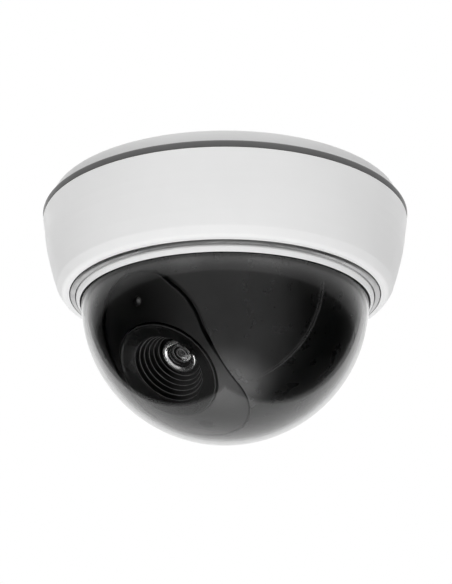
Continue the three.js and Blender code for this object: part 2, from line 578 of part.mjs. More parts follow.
function boardStack() {
  const ears = [[HOLDER_EAR_X, 0], [-HOLDER_EAR_X, 0]];
  const sensorBoard = circuitBoard('sensor_board', SENSOR_BOARD_S, [...POST_PLACES, ...ears]);
  const processorBoard = circuitBoard('processor_board', PROCESSOR_BOARD_S, POST_PLACES);
  const low = PROCESSOR_BOARD_S + BOARD_T + GAP;
  const high = SENSOR_BOARD_S - GAP;
  const standoffs = POST_PLACES.map(([x, y], i) => {
    const hex = rod(POST_R, low, high, 6);
    const stud = rod(BOARD_SCREW.shank, high - 0.5, high + 5);
    const thread = threadFor(BOARD_SCREW, low - OVER, low + 4);
    return placed(piece(`board_standoff_${i + 1}`, cut(join(hex, stud), thread), ALUMINIUM), x, y, 0);
  });
  const screws = POST_PLACES.map(([x, y], i) => placed(
    piece(`board_screw_${i + 1}`, screw(BOARD_SCREW), STEEL), x, y, PROCESSOR_BOARD_S - GAP));
  const holderScrews = ears.map(([x], i) => placed(
    piece(`holder_screw_${i + 1}`, screw(HOLDER_SCREW), STEEL), x, 0, SENSOR_BOARD_S - GAP));
  const sensor = piece('image_sensor', block([-4.4, -3.4, HOLDER_S], [4.4, 3.4, HOLDER_S + 1.1]), CHIP);
  const processor = piece('video_processor', block([-6, -6, low], [6, 6, low + 1.3]), CHIP);
  const connector = piece('board_connector', block([-5, 6.5, PROCESSOR_BOARD_S - 4.3],
    [5, 10.5, PROCESSOR_BOARD_S - GAP]), NYLON);
  return [sensorBoard, sensor, ...holderScrews, ...standoffs, processorBoard, ...screws, processor,
    connector];
}

function cameraModule() {
  const lockRing = piece('focus_lock_ring', ring(LENS_THREAD_R + 0.15, 7.9, LOCK_RING_S,
    LOCK_RING_S + 1.4, SMALL_ROUND), BLACK_METAL);
  return group(lensBezel(), lensHood(), lensHolder(), lockRing, ...boardStack());
}

// ---- Lens, in lens coordinates -----------------------------------------------------------------------
function lensBarrel() {
  const front = LENS_FRONT_S;
  const head = front - 3.5;
  const outside = [[LENS_HEAD_R - 0.2, front], [LENS_HEAD_R, front - 0.2], [LENS_HEAD_R, head],
    [LENS_THREAD_R, head], [LENS_THREAD_R, LENS_BACK_S]];
  const bore = [[4.6, LENS_BACK_S], [4.6, LENS_BACK_S + 3], [3.2, LENS_BACK_S + 3], [3.2, front - 5.5],
    [4.2, front - 5.5], [4.2, front - 2.1], [5.3, front - 2.1], [5.3, front - 0.2], [5.6, front]];
  return piece('lens_barrel', turned([...outside, ...bore], SMALL_ROUND), BLACK_METAL);
}

// A lens element from the outline of its two faces, which bulge by frontBulge and backBulge.
function element(name, radius, edgeBottom, edgeTop, frontBulge, backBulge) {
  const steps = 2;
  const face = (edge, bulge) => Array.from({ length: steps + 1 }, (_, i) => {
    const across = i / steps;
    return [radius * across, edge + bulge * (1 - across * across)];
  });
  const outline = [...face(edgeTop, frontBulge), ...face(edgeBottom, -backBulge).reverse()];
  return piece(name, turned(outline, SMALL_ROUND), GLASS);
}

function lens() {
  const frontRing = piece('lens_front_ring', ring(4.35, 5, LENS_FRONT_S - 0.75, LENS_FRONT_S - 0.3,
    SMALL_ROUND), ALUMINIUM);
  const iris = piece('iris_ring', ring(1.9, 3.9, 33.1, 33.4, SMALL_ROUND), ALUMINIUM);
  return group(lensBarrel(), frontRing, element('front_lens', 4.95, 34.9, 35.3, 1.9, -0.3), iris,
    element('middle_lens', 3.9, 31.5, 32.1, 0.5, 0), element('rear_lens', 4.3, 20, 21.4, 0.6, 0.4));
}

// ---- Whole object ------------------------------------------------------------------------------------
const aimedModule = group(cameraModule(), lens());
aimedModule.rotation.x = AIM;
const eyeball = group(eye(), aimedModule);
eyeball.position.z = BALL_Z;

export default group(base(), cover(), panStage(), eyeball);
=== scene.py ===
# Looks of a ceiling dome camera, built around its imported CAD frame. Outlines are in millimetres and are
# scaled to metres when a mesh is made. The camera hangs below the row's origin and looks towards -Y and down.
import math

import bmesh
import bpy
from mathutils import Matrix, Vector


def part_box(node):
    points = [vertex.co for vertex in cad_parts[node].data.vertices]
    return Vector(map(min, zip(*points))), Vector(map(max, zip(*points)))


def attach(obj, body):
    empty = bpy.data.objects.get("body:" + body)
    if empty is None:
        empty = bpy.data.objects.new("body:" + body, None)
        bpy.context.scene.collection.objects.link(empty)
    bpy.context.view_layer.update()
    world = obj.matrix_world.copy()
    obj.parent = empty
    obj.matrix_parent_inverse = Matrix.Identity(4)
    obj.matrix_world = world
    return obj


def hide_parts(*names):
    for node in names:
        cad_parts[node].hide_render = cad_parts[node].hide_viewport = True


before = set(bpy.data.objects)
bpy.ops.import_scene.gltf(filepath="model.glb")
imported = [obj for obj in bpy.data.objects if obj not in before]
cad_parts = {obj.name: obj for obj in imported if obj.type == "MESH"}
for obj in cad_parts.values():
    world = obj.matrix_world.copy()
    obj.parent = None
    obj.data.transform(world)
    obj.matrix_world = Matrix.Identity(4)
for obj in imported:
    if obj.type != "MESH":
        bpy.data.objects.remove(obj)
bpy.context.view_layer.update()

MM = 0.001
TURN = 2 * math.pi


def box_mm(node):
    low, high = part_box(node)
    return low / MM, high / MM


def levels(node):
    """Lowest and highest z of a CAD node, in millimetres."""
    low, high = box_mm(node)
    return low.z, high.z


def centre_mm(node):
    low, high = box_mm(node)
    return (low + high) / 2


# ---- Driving dimensions, in millimetres ----------------------------------------------------------------
DOME_R = 50.8
DOME_T = 1.3
SHROUD_R = 48.7
SHROUD_T = 1.6
SHROUD_RIM = 14
FACE_R = 48.2
FACE_BACK_R = 45.2
FACE_HOLE_R = 18.2
AROUND = 240                   # points round the face plate's outline
LOBE_CAP_R = 21.2
LOBE_STRAIGHT = 11.8
LENS_PITCH = math.radians(47.5)
LED_ANGLE = math.radians(31.5)
WINDOW_ANGLE = math.radians(-30.5)
SHROUD_BOSS_R = 4              # ball's bosses for the pivot screws

BASE_FLOOR_Z = -2.5            # underside of the base plate
BASE_LIP_Z = -4.7              # lower end of its visible edge
SKIRT_OUTER_R = 60.5
SKIRT_INNER_R = 58.5
HUB_R = 19.5                   # hub that the turntable runs on
HUB_BORE_R = 15.5
HUB_SHOULDER_R = 23
HUB_SHOULDER_Z = -6.6
HUB_Z = -10.3
KEYHOLE_ANGLES = [30, 150, 270]
KEYHOLE_CIRCLE_R = 51.5
KEYHOLE_HEAD_R = 4.2
KEYHOLE_SLOT_R = 2.3
KEYHOLE_TRAVEL = 8
INLET_PLACE = Matrix.Translation((0, 49.5, 0))
INLET_R = 7.2
CABLE_R = 4
RETAINER_R = 24
WASHER_R = 23.1
WASHER_T = 0.24
WASHER_SWING = 0.35            # rise and fall of the wave

SPIGOT_OUTER_R = 62.5          # dark band's skirt, inside the housing's mouth
SPIGOT_INNER_R = 62.05
BAND_BOTTOM_Z = -7.2
HOUSING_WALL = 2.2
MOUTH_R = 54.9                 # opening in the housing's underside
CLAMP_PCD_R = 56.3             # circle of the three screws that clamp the dome
CLAMP_ANGLES = [90, 210, 330]
CLAMP_BOSS_R = 1.6
NOTCH_R = 2.1                  # notches round those bosses in the flanges between
TRIM_OUTER_R = 54.6            # bright ring
TRIM_INNER_R = 52.8
RING_OUTER_R = 52.5            # white ring round the dome
RING_INNER_R = 51.15
RING_FLANGE_Z = -33
DOME_FLANGE_R = 57.3
DOME_FLANGE_Z = -30.8
CLAMP_OUTER_R = 57.8
CLAMP_INNER_R = 50

TABLE_R = 44                   # turntable
ARM_OUTER_X = 42               # the two faces of each yoke arm
ARM_INNER_X = 38
TILT_WASHER_R = 4.2
PIVOT_R = 2.05

BALL_Z = levels("smoked_dome")[0] + DOME_R
BALL = Vector((0, 0, BALL_Z))
# Lens coordinates: Z runs out along the lens axis from the ball's centre, Y points up and forwards.
LENS_FRAME = Matrix.Translation(BALL) @ Matrix.Rotation(math.pi / 2 + LENS_PITCH, 4, "X")

PHOTO_AZIMUTH = math.radians(39)
PHOTO_ELEVATION = math.radians(-20.8)

# Strength of the soft lights that only what lies inside the dome mirrors: in front, and straight below.
ROOM_STRENGTH = 1.5
BELOW_STRENGTH = 6.5
DOME_CROSSINGS = 3.0           # a ray that enters the dome and leaves again crosses its faces more often


# ---- Node helpers --------------------------------------------------------------------------------------
def add(tree, kind, inputs=(), **settings):
    """A new node with its settings and inputs. An input is a value or another node's output."""
    made = tree.nodes.new(kind)
    for name, value in settings.items():
        setattr(made, name, value)
    for key, value in dict(inputs).items():
        if isinstance(value, bpy.types.NodeSocket):
            tree.links.new(value, made.inputs[key])
        else:
            made.inputs[key].default_value = value
    return made


def math_node(tree, operation, *values, clamp=False):
    return add(tree, "ShaderNodeMath", enumerate(values), operation=operation, use_clamp=clamp).outputs[0]


def ramp(tree, value, low, high, out_low=0.0, out_high=1.0):
    """A smooth step of value from low to high."""
    inputs = {"Value": value, "From Min": low, "From Max": high, "To Min": out_low, "To Max": out_high}
    return add(tree, "ShaderNodeMapRange", inputs, interpolation_type="SMOOTHSTEP").outputs["Result"]


def noise(tree, vector, scale, detail=3.0, roughness=0.5):
    inputs = {"Vector": vector, "Scale": scale, "Detail": detail, "Roughness": roughness}
    return add(tree, "ShaderNodeTexNoise", inputs).outputs["Fac"]


def mixed_colour(tree, factor, first, second):
    made = add(tree, "ShaderNodeMix", data_type="RGBA")
    for socket, value in ((made.inputs[0], factor), (made.inputs[6], first), (made.inputs[7], second)):
        if isinstance(value, bpy.types.NodeSocket):
            tree.links.new(value, socket)
        else:
            socket.default_value = value
    return made.outputs[2]


def grey(value):
    return (value, value, value, 1)


def tinted(colour, factor):
    return tuple(min(channel * factor, 1) for channel in colour[:3]) + (1,)


def new_material(name):
    material = bpy.data.materials.new(name)
    material.use_nodes = True
    material.node_tree.nodes.clear()
    return material, material.node_tree


def surface(tree, shader):
    out = tree.nodes.new("ShaderNodeOutputMaterial")
    tree.links.new(shader, out.inputs["Surface"])


# ---- Materials -----------------------------------------------------------------------------------------
def moulded(name, colour, roughness, texture=0.03, texture_mm=0.25, mottle=0.04, metallic=0.0, edge_highlight_and_rubbing=1.25,
            specular=0.5):
    """Moulded or finished surface: fine texture, uneven gloss and colour, and edges lightened, a painted
    highlight along edges together with rubbing.
    """
    material, tree = new_material(name)
    place = add(tree, "ShaderNodeTexCoord").outputs["Object"]
    fine = noise(tree, place, 1 / (texture_mm * MM), 4.0, 0.6)
    patches = noise(tree, place, 45, 3.0, 0.55)
    smears = noise(tree, place, 160, 4.0, 0.6)
    bump = add(tree, "ShaderNodeBump", {"Height": fine, "Strength": texture, "Distance": texture_mm * MM})
    # Edges marked 'edge' are lightened by the edge factor: a painted highlight along them, together with
    # rubbing that varies with the smears.
    edge = add(tree, "ShaderNodeAttribute", attribute_name="edge").outputs["Fac"]
    highlight_and_rubbing_mask = math_node(tree, "MULTIPLY", edge, ramp(tree, smears, 0.2, 0.6, 0.4, 1.0))
    spread = ramp(tree, patches, 0.3, 0.7)
    body = mixed_colour(tree, spread, tinted(colour, 1 - mottle), tinted(colour, 1 + mottle))
    highlit_and_scuffed = mixed_colour(tree, highlight_and_rubbing_mask, body, tinted(colour, edge_highlight_and_rubbing))
    gloss = ramp(tree, smears, 0.25, 0.75, roughness * 0.85, roughness * 1.15)
    shader = add(tree, "ShaderNodeBsdfPrincipled", {"Base Color": highlit_and_scuffed, "Roughness": gloss,
        "Metallic": metallic, "Specular IOR Level": specular, "Normal": bump.outputs["Normal"]})
    surface(tree, shader.outputs["BSDF"])
    return material


def turned_metal(name, colour, roughness, lines_mm, depth):
    """Bright metal with fine rings from turning or polishing, round the Z axis."""
    material, tree = new_material(name)
    place = add(tree, "ShaderNodeTexCoord").outputs["Object"]
    flat = add(tree, "ShaderNodeVectorMath", {0: place, 1: (1, 1, 0)}, operation="MULTIPLY").outputs[0]
    radius = add(tree, "ShaderNodeVectorMath", {0: flat}, operation="LENGTH").outputs["Value"]
    along = add(tree, "ShaderNodeCombineXYZ", {"X": radius}).outputs[0]
    rings = noise(tree, along, 1 / (lines_mm * MM), 2.0, 0.7)
    haze = noise(tree, place, 220, 4.0, 0.6)
    bump = add(tree, "ShaderNodeBump", {"Height": rings, "Strength": depth, "Distance": lines_mm * MM})
    gloss = ramp(tree, haze, 0.25, 0.8, roughness * 0.75, roughness * 1.4)
    body = mixed_colour(tree, haze, tinted(colour, 0.94), tinted(colour, 1.05))
    shader = add(tree, "ShaderNodeBsdfPrincipled", {"Base Color": body, "Roughness": gloss, "Metallic": 1.0,
        "Normal": bump.outputs["Normal"]})
    surface(tree, shader.outputs["BSDF"])
    return material


def clear_shell(name, tint, head_on=0.04, edge_tint=0.6, roughness=0.015):
    """A thin clear wall: what is behind shows unbent through the tint, and gloss rises towards the edge."""
    material, tree = new_material(name)
    place = add(tree, "ShaderNodeTexCoord").outputs["Object"]
    facing = add(tree, "ShaderNodeLayerWeight", {"Blend": 0.5}).outputs["Facing"]
    slope = math_node(tree, "POWER", facing, 5.0)
    share = math_node(tree, "MULTIPLY_ADD", slope, 1 - head_on, head_on)
    smudges = noise(tree, place, 90, 5.0, 0.6)
    gloss = ramp(tree, smudges, 0.35, 0.75, roughness, roughness * 2.2)
    waves = noise(tree, place, 30, 2.0)
    bump = add(tree, "ShaderNodeBump", {"Height": waves, "Strength": 0.02, "Distance": 1 * MM})
    body = mixed_colour(tree, ramp(tree, smudges, 0.3, 0.7), tinted(tint, 0.97), tinted(tint, 1.0))
    deep = mixed_colour(tree, math_node(tree, "POWER", facing, 2.5), body, tinted(tint, edge_tint))
    through = add(tree, "ShaderNodeBsdfTransparent", {"Color": deep}).outputs[0]
    mirror = add(tree, "ShaderNodeBsdfGlossy", {"Color": grey(1), "Roughness": gloss,
        "Normal": bump.outputs["Normal"]}).outputs[0]
    shader = add(tree, "ShaderNodeMixShader", {0: share, 1: through, 2: mirror}).outputs[0]
    surface(tree, shader)
    return material


def circuit_board(name):
    """Green solder mask over copper tracks, with bright pads."""
    material, tree = new_material(name)
    place = add(tree, "ShaderNodeTexCoord").outputs["Object"]
    tracks = add(tree, "ShaderNodeTexBrick", {"Vector": place, "Scale": 380.0, "Mortar Size": 0.09},
        offset=0.37).outputs["Fac"]
    pads = add(tree, "ShaderNodeTexVoronoi", {"Vector": place, "Scale": 420.0, "Randomness": 0.8})
    pad = ramp(tree, pads.outputs["Distance"], 0.16, 0.12)
    mask = mixed_colour(tree, tracks, (0.010, 0.085, 0.035, 1), (0.025, 0.19, 0.08, 1))
    body = mixed_colour(tree, pad, mask, (0.75, 0.74, 0.70, 1))
    bump = add(tree, "ShaderNodeBump", {"Height": tracks, "Strength": 0.25, "Distance": 0.05 * MM})
    gloss = ramp(tree, pad, 0, 1, 0.35, 0.25)
    shader = add(tree, "ShaderNodeBsdfPrincipled", {"Base Color": body, "Roughness": gloss, "Metallic": pad,
        "Normal": bump.outputs["Normal"]})
    surface(tree, shader.outputs["BSDF"])
    return material


WHITE = moulded("white_plastic", grey(0.80), 0.42, texture=0.05, mottle=0.008, edge_highlight_and_rubbing=1.03)
OFF_WHITE = moulded("base_plastic", grey(0.72), 0.5, texture=0.06, mottle=0.012, edge_highlight_and_rubbing=1.03)
BAND = moulded("band_lacquer", grey(0.13), 0.45, texture=0.04, texture_mm=0.12, mottle=0.03, metallic=0.3,
    specular=0.3)
CHROME = turned_metal("chrome_trim", grey(0.55), 0.34, lines_mm=0.3, depth=0.001)
SMOKED = clear_shell("smoked_acrylic", grey(0.85))
# SHROUD, LENS_BLACK, HOOD and IRIS get large edge factors: their edges carry painted highlights, bright lines
# in place of light caught on the edges.
SHROUD = moulded("shroud_plastic", grey(0.004), 0.3, texture=0.04, mottle=0.1, edge_highlight_and_rubbing=6)
PANEL = moulded("panel_plastic", grey(0.004), 0.36, texture=0.05, mottle=0.1, edge_highlight_and_rubbing=1, specular=0.32)
LENS_BLACK = moulded("lens_plastic", grey(0.003), 0.25, texture=0.04, mottle=0.1, edge_highlight_and_rubbing=16, specular=0.18)
HOOD = moulded("hood_plastic", grey(0.003), 0.35, texture=0.04, mottle=0.1, edge_highlight_and_rubbing=65, specular=0.15)
IRIS = moulded("iris_lacquer", grey(0.01), 0.5, texture=0.03, edge_highlight_and_rubbing=80, specular=0.2)
FRONT_RING = moulded("front_ring_metal", grey(0.78), 0.26, texture=0.03, metallic=1.0, edge_highlight_and_rubbing=1.25)
BLACK = moulded("black_plastic", grey(0.02), 0.5, texture=0.08, mottle=0.1, edge_highlight_and_rubbing=2.0)
ANODISED = moulded("black_anodised", grey(0.02), 0.3, texture=0.03, texture_mm=0.1, metallic=0.5, edge_highlight_and_rubbing=2.5)
RUBBER = moulded("rubber", grey(0.02), 0.8, texture=0.15, mottle=0.15, edge_highlight_and_rubbing=1.5)
STEEL = moulded("zinc_steel", grey(0.62), 0.3, texture=0.06, texture_mm=0.15, mottle=0.08, metallic=1.0,
    edge_highlight_and_rubbing=1.2)
ALUMINIUM = moulded("aluminium", grey(0.72), 0.28, texture=0.05, texture_mm=0.1, mottle=0.05, metallic=1.0,
    edge_highlight_and_rubbing=1.1)
NYLON = moulded("nylon", (0.78, 0.76, 0.68, 1), 0.55, texture=0.06, mottle=0.03, edge_highlight_and_rubbing=1.05)
CHIP = moulded("chip_package", grey(0.025), 0.45, texture=0.08, texture_mm=0.08, mottle=0.1, edge_highlight_and_rubbing=1.6)
LED = moulded("led_epoxy", grey(0.12), 0.12, texture=0.02, mottle=0.02, edge_highlight_and_rubbing=1.05)
WINDOW = moulded("window_filter", grey(0.003), 0.4, texture=0.02, mottle=0.05, edge_highlight_and_rubbing=1, specular=0.1)
GLASS = clear_shell("lens_glass", grey(0.96), head_on=0.065, edge_tint=0.95)
BOARD = circuit_board("circuit_board")


# ---- Mesh helpers --------------------------------------------------------------------------------------
FLAT_CORNER = 1.56             # half angles, in radians: above this a corner isn't one
SHARP_CORNER = 1.2             # and below this it is an edge that gets a painted highlight and rubbing


def rounded(corners, closed=True, steps=5):
    """An outline of (radius, z, fillet) corners with each corner turned into an arc.

    The third number of each point is 1 within an arc that stands out, where an edge gets a painted highlight
    and is lightened by rubbing.
    """
    flat = [Vector(corner[:2]) for corner in corners]
    count = len(flat)
    area = sum(flat[i - 1].x * flat[i].y - flat[i].x * flat[i - 1].y for i in range(count))
    points = []
    for i, corner in enumerate(flat):
        fillet = corners[i][2]
        before, after = flat[i - 1] - corner, flat[(i + 1) % count] - corner
        half = before.angle(after, math.pi) / 2
        if fillet == 0 or half > FLAT_CORNER or (not closed and i in (0, count - 1)):
            points.append(corner.to_3d())
            continue
        reach = min(fillet / math.tan(half), before.length * 0.49, after.length * 0.49)
        depth = reach * math.tan(half)
        middle = corner + (before.normalized() + after.normalized()).normalized() * (depth / math.sin(half))
        start = corner + before.normalized() * reach - middle
        end = corner + after.normalized() * reach - middle
        stands_out = (before.y * after.x - before.x * after.y) * area > 0 and half < SHARP_CORNER
        for k in range(steps + 1):
            point = middle + start.slerp(end, k / steps) * depth
            points.append(Vector((point.x, point.y, 1.0 if stands_out and 0 < k < steps else 0.0)))
    return points


def sphere_arc(radius, start, end, steps, centre=0.0):
    """(radius, z, fillet) points of an arc about the axis, angles in degrees above the horizontal."""
    angles = [math.radians(start + (end - start) * k / steps) for k in range(steps + 1)]
    return [(max(radius * math.cos(a), 0.0), centre + radius * math.sin(a), 0) for a in angles]


def loft(rings, closed, highlit_and_scuffed=None):
    """Vertices, faces and the edge mark for painted highlight and rubbing through rings of equal count;
    closed joins the last ring to the first.
    """
    count = len(rings[0])
    vertices = [point for ring in rings for point in ring]
    edge_highlight_and_rubbing = [value for value in highlit_and_scuffed or [0.0] * len(rings) for _ in range(count)]
    faces = []
    for k in range(len(rings) if closed else len(rings) - 1):
        first, second = k * count, (k + 1) % len(rings) * count
        for i in range(count):
            j = (i + 1) % count
            faces.append((first + i, first + j, second + j, second + i))
    return vertices, faces, edge_highlight_and_rubbing


def spun(outline, closed, angles):
    """An outline turned about Z."""
    rings = [[Vector((p.x * math.cos(a), p.x * math.sin(a), p.y)) for a in angles] for p in outline]
    return loft(rings, closed, [p.z for p in outline])


def moved(part, place):
    vertices, *rest = part
    return ([place @ v for v in vertices], *rest)


def to_mesh(name, parts):
    """One mesh, in metres, from several lofts, with outward normals."""
    work = bmesh.new()
    # Per-vertex 'edge' mark: materials lighten these edges with a painted highlight together with rubbing.
    edge = work.verts.layers.float.new("edge")
    for vertices, faces, edge_highlight_and_rubbing in parts:
        made = [work.verts.new(Vector(v) * MM) for v in vertices]
        for vertex, value in zip(made, edge_highlight_and_rubbing):
            vertex[edge] = value
        for face in faces:
            work.faces.new([made[i] for i in face])
    bmesh.ops.remove_doubles(work, verts=work.verts, dist=1e-7)
    bmesh.ops.recalc_face_normals(work, faces=work.faces)
    mesh = bpy.data.meshes.new(name)
    work.to_mesh(mesh)
    work.free()
    finish_shading(mesh)
    return mesh


def finish_shading(mesh):
    mesh.polygons.foreach_set("use_smooth", [True] * len(mesh.polygons))
    mesh.set_sharp_from_angle(angle=math.radians(35))


def piece(name, mesh, material, body, slot, *nodes):
    """Shows a mesh as a piece that rides on a body and stands for CAD nodes."""
    made = bpy.data.objects.new(name, mesh)
    bpy.context.scene.collection.objects.link(made)
    mesh.materials.clear()
    mesh.materials.append(material)
    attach(made, body)
    if nodes:
        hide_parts(*nodes)
    return made


def even_angles(count):
    return [TURN * i / count for i in range(count)]


def turned_piece(name, corners, material, body, slot, nodes, closed=True, sides=192,
                 place=Matrix.Identity(4), notched=False, steps=5):
    angles = even_angles(sides)
    if notched:
        fine = [math.radians(centre + step * 0.25) for centre in CLAMP_ANGLES for step in range(-11, 12)]
        angles = sorted(angles + fine)
    part = spun(rounded(corners, closed, steps), closed, angles)
    if notched:
        part = ([past_bosses(v) for v in part[0]], *part[1:])
    return piece(name, to_mesh(name, [moved(part, place)]), material, body, slot, *nodes)


def past_bosses(point):
    """Pulls a flange's edge in round the three screw bosses."""
    radius = math.hypot(point.x, point.y)
    for degrees in CLAMP_ANGLES:
        angle = math.radians(degrees)
        boss = Vector((CLAMP_PCD_R * math.cos(angle), CLAMP_PCD_R * math.sin(angle)))
        along = Vector((point.x, point.y)).normalized() if radius > 0 else boss
        across = abs(along.x * boss.y - along.y * boss.x)
        if across < NOTCH_R and along.dot(boss) > 0:
            limit = along.dot(boss) - math.sqrt(NOTCH_R ** 2 - across ** 2)
            if radius > limit:
                return Vector((along.x * limit, along.y * limit, point.z))
    return point


def cut(target, *cutters):
    """Cuts closed meshes out of a piece and applies the result."""
    for cutter in cutters:
        tool = bpy.data.objects.new("cutter", cutter)
        bpy.context.scene.collection.objects.link(tool)
        modifier = target.modifiers.new("cut", "BOOLEAN")
        modifier.operation = "DIFFERENCE"
        modifier.solver = "EXACT"
        modifier.object = tool
        applied(target)
        bpy.data.objects.remove(tool)
        bpy.data.meshes.remove(cutter)
    finish_shading(target.data)


def applied(target):
    """Replaces a piece's mesh by what its modifiers make of it."""
    graph = bpy.context.evaluated_depsgraph_get()
    made = bpy.data.meshes.new_from_object(target.evaluated_get(graph))
    old = target.data
    target.modifiers.clear()
    target.data = made
    bpy.data.meshes.remove(old)


def rod(radius, bottom, top, place=Matrix.Identity(4), sides=48):
    """A closed cylinder mesh for cutting."""
    outline = [Vector((r, z, 0)) for r, z in ((0, bottom), (radius, bottom), (radius, top), (0, top))]
    return to_mesh("rod", [moved(spun(outline, False, even_angles(sides)), place)])


def prism(outline, bottom, top, place=Matrix.Identity(4)):
    """A closed prism mesh from a flat (x, y) outline."""
    low = [place @ Vector((x, y, bottom)) for x, y in outline]
    high = [place @ Vector((x, y, top)) for x, y in outline]
    count = len(outline)
    sides = [(i, (i + 1) % count, (i + 1) % count + count, i + count) for i in range(count)]
    faces = sides + [tuple(range(count)), tuple(range(count, 2 * count))]
    return to_mesh("prism", [(low + high, faces, [0.0] * 2 * count)])


def softened(target, width, segments=3):
    """Rounds a piece's sharp edges; on a CAD node it stays a modifier."""
    modifier = target.modifiers.new("soft_edges", "BEVEL")
    modifier.width = width * MM
    modifier.segments = segments
    modifier.limit_method = "ANGLE"
    modifier.angle_limit = math.radians(40)
    modifier.harden_normals = False


# ---- Base ----------------------------------------------------------------------------------------------
def stadium(cap, straight, count):
    """Points at even spacing round two half circles and two straight sides along y."""
    side, half_round = 2 * straight, math.pi * cap
    total = 2 * (side + half_round)
    points = []
    for i in range(count):
        run = (i + 0.5) / count * total
        if run < side:
            points.append(Vector((cap, run - straight)))
        elif run < side + half_round:
            angle = (run - side) / cap
            points.append(Vector((cap * math.cos(angle), straight + cap * math.sin(angle))))
        elif run < 2 * side + half_round:
            points.append(Vector((-cap, straight - (run - side - half_round))))
        else:
            angle = math.pi + (run - 2 * side - half_round) / cap
            points.append(Vector((cap * math.cos(angle), -straight + cap * math.sin(angle))))
    return points


def mount_base():
    bottom, top = levels("mount_base")
    edge = box_mm("mount_base")[1].x
    groove = [(38, top, 0.1), (38.3, top - 0.35, 0.15), (39.7, top - 0.35, 0.15), (40, top, 0.1)]
    skirt = [(SKIRT_OUTER_R, BASE_LIP_Z, 0.3), (SKIRT_OUTER_R, bottom, 0.4), (SKIRT_INNER_R, bottom, 0.4),
        (SKIRT_INNER_R, BASE_FLOOR_Z, 0.4)]
    hub = [(HUB_SHOULDER_R, BASE_FLOOR_Z, 0.4), (HUB_SHOULDER_R, HUB_SHOULDER_Z, 0.2),
        (HUB_R, HUB_SHOULDER_Z, 0.2), (HUB_R, HUB_Z, 0.3), (HUB_BORE_R, HUB_Z, 0.3),
        (HUB_BORE_R, BASE_FLOOR_Z, 0.4)]
    corners = [(0, top, 0), *groove, (edge - 0.4, top, 0.8), (edge, BASE_LIP_Z, 0.25), *skirt, *hub,
        (0, BASE_FLOOR_Z, 0)]
    made = turned_piece("mount_base", corners, OFF_WHITE, "base", "base_plastic", ["mount_base"],
        closed=False)
    cutters = []
    through = BASE_FLOOR_Z - 1
    for degrees in KEYHOLE_ANGLES:
        turn = Matrix.Rotation(math.radians(degrees), 4, "Z")
        cutters.append(rod(KEYHOLE_HEAD_R, through, 1, turn @ Matrix.Translation((KEYHOLE_CIRCLE_R, 0, 0))))
        slot = turn @ Matrix.Translation((KEYHOLE_CIRCLE_R, KEYHOLE_TRAVEL / 2, 0))
        outline = stadium(KEYHOLE_SLOT_R, KEYHOLE_TRAVEL / 2, 48)
        cutters.append(prism([(p.x, p.y) for p in outline], through, 1, slot))
    cutters.append(rod(INLET_R, through, 1, INLET_PLACE))
    cut(made, *cutters)


def cable_grommet():
    bottom, top = levels("cable_grommet")
    lip_r, neck_r, lip_z = INLET_R + 1, INLET_R - 0.2, BASE_FLOOR_Z - 0.05
    corners = [(CABLE_R, bottom, 0.5), (lip_r, bottom, 0.5), (lip_r, lip_z, 0.3), (neck_r, lip_z, 0.2),
        (neck_r, top, 0.3), (CABLE_R, top, 0.5)]
    turned_piece("cable_grommet", corners, RUBBER, "base", "rubber", ["cable_grommet"], sides=64,
        place=INLET_PLACE)


def pan_bearing():
    low, high = levels("pan_retainer_ring")
    corners = [(HUB_BORE_R, low, 0.3), (RETAINER_R, low, 0.4), (RETAINER_R, high, 0.2),
        (HUB_BORE_R, high, 0.2)]
    turned_piece("pan_retainer_ring", corners, BLACK, "base", "black_plastic", ["pan_retainer_ring"],
        sides=96)
    middle = sum(levels("pan_wave_washer")) / 2
    inner, half = HUB_R + 0.25, WASHER_T / 2
    rings = []
    for radius, height in ((inner, -half), (WASHER_R, -half), (WASHER_R, half), (inner, half)):
        rings.append([Vector((radius * math.cos(a), radius * math.sin(a),
            middle + height + WASHER_SWING * math.cos(3 * a))) for a in even_angles(96)])
    piece("pan_wave_washer", to_mesh("pan_wave_washer", [loft(rings, True)]), STEEL, "base", "steel",
        "pan_wave_washer")


# ---- Cover ---------------------------------------------------------------------------------------------
def upper_trim_ring():
    bottom, top = levels("upper_trim_ring")
    edge = box_mm("upper_trim_ring")[1].x
    corners = [(SPIGOT_INNER_R, top, 0.2), (edge, top, 0.45), (edge - 0.4, BAND_BOTTOM_Z, 0.12),
        (SPIGOT_OUTER_R, BAND_BOTTOM_Z, 0.1), (SPIGOT_OUTER_R, bottom, 0.1), (SPIGOT_INNER_R, bottom, 0.1)]
    turned_piece("upper_trim_ring", corners, BAND, "cover", "band_metal", ["upper_trim_ring"], sides=256)


def housing_shell():
    bottom, top = levels("housing_shell")
    edge = box_mm("housing_shell")[1].x
    side = [(edge, top, 0.35), (64.55, -11.3, 6), (64.0, -15.3, 6), (63.2, -19.3, 6), (62.15, -23.3, 6),
        (61.0, -27.3, 6), (59.4, -32.0, 2.5), (57.2, bottom + 0.25, 2.2), (MOUTH_R, bottom, 0.25)]
    roof = bottom + HOUSING_WALL
    inner = [(MOUTH_R, roof, 0.2), (57.4, roof, 1.0), (58.6, -27.3, 3), (59.95, -23.3, 6),
        (61.0, -19.3, 6), (61.8, -15.3, 6), (63.0, top, 0.2)]
    parts = [spun(rounded(side + inner, steps=8), True, even_angles(256))]
    for degrees in CLAMP_ANGLES:
        place = Matrix.Rotation(math.radians(degrees), 4, "Z") @ Matrix.Translation((CLAMP_PCD_R, 0, 0))
        outline = rounded([(0.85, -32, 0), (0.85, -29.7, 0.1), (CLAMP_BOSS_R, -29.7, 0.15),
            (CLAMP_BOSS_R, -33.5, 0), (0.3, -33.5, 0)])
        parts.append(moved(spun(outline, True, even_angles(32)), place))
    piece("housing_shell", to_mesh("housing_shell", parts), WHITE, "cover", "white_plastic", "housing_shell")


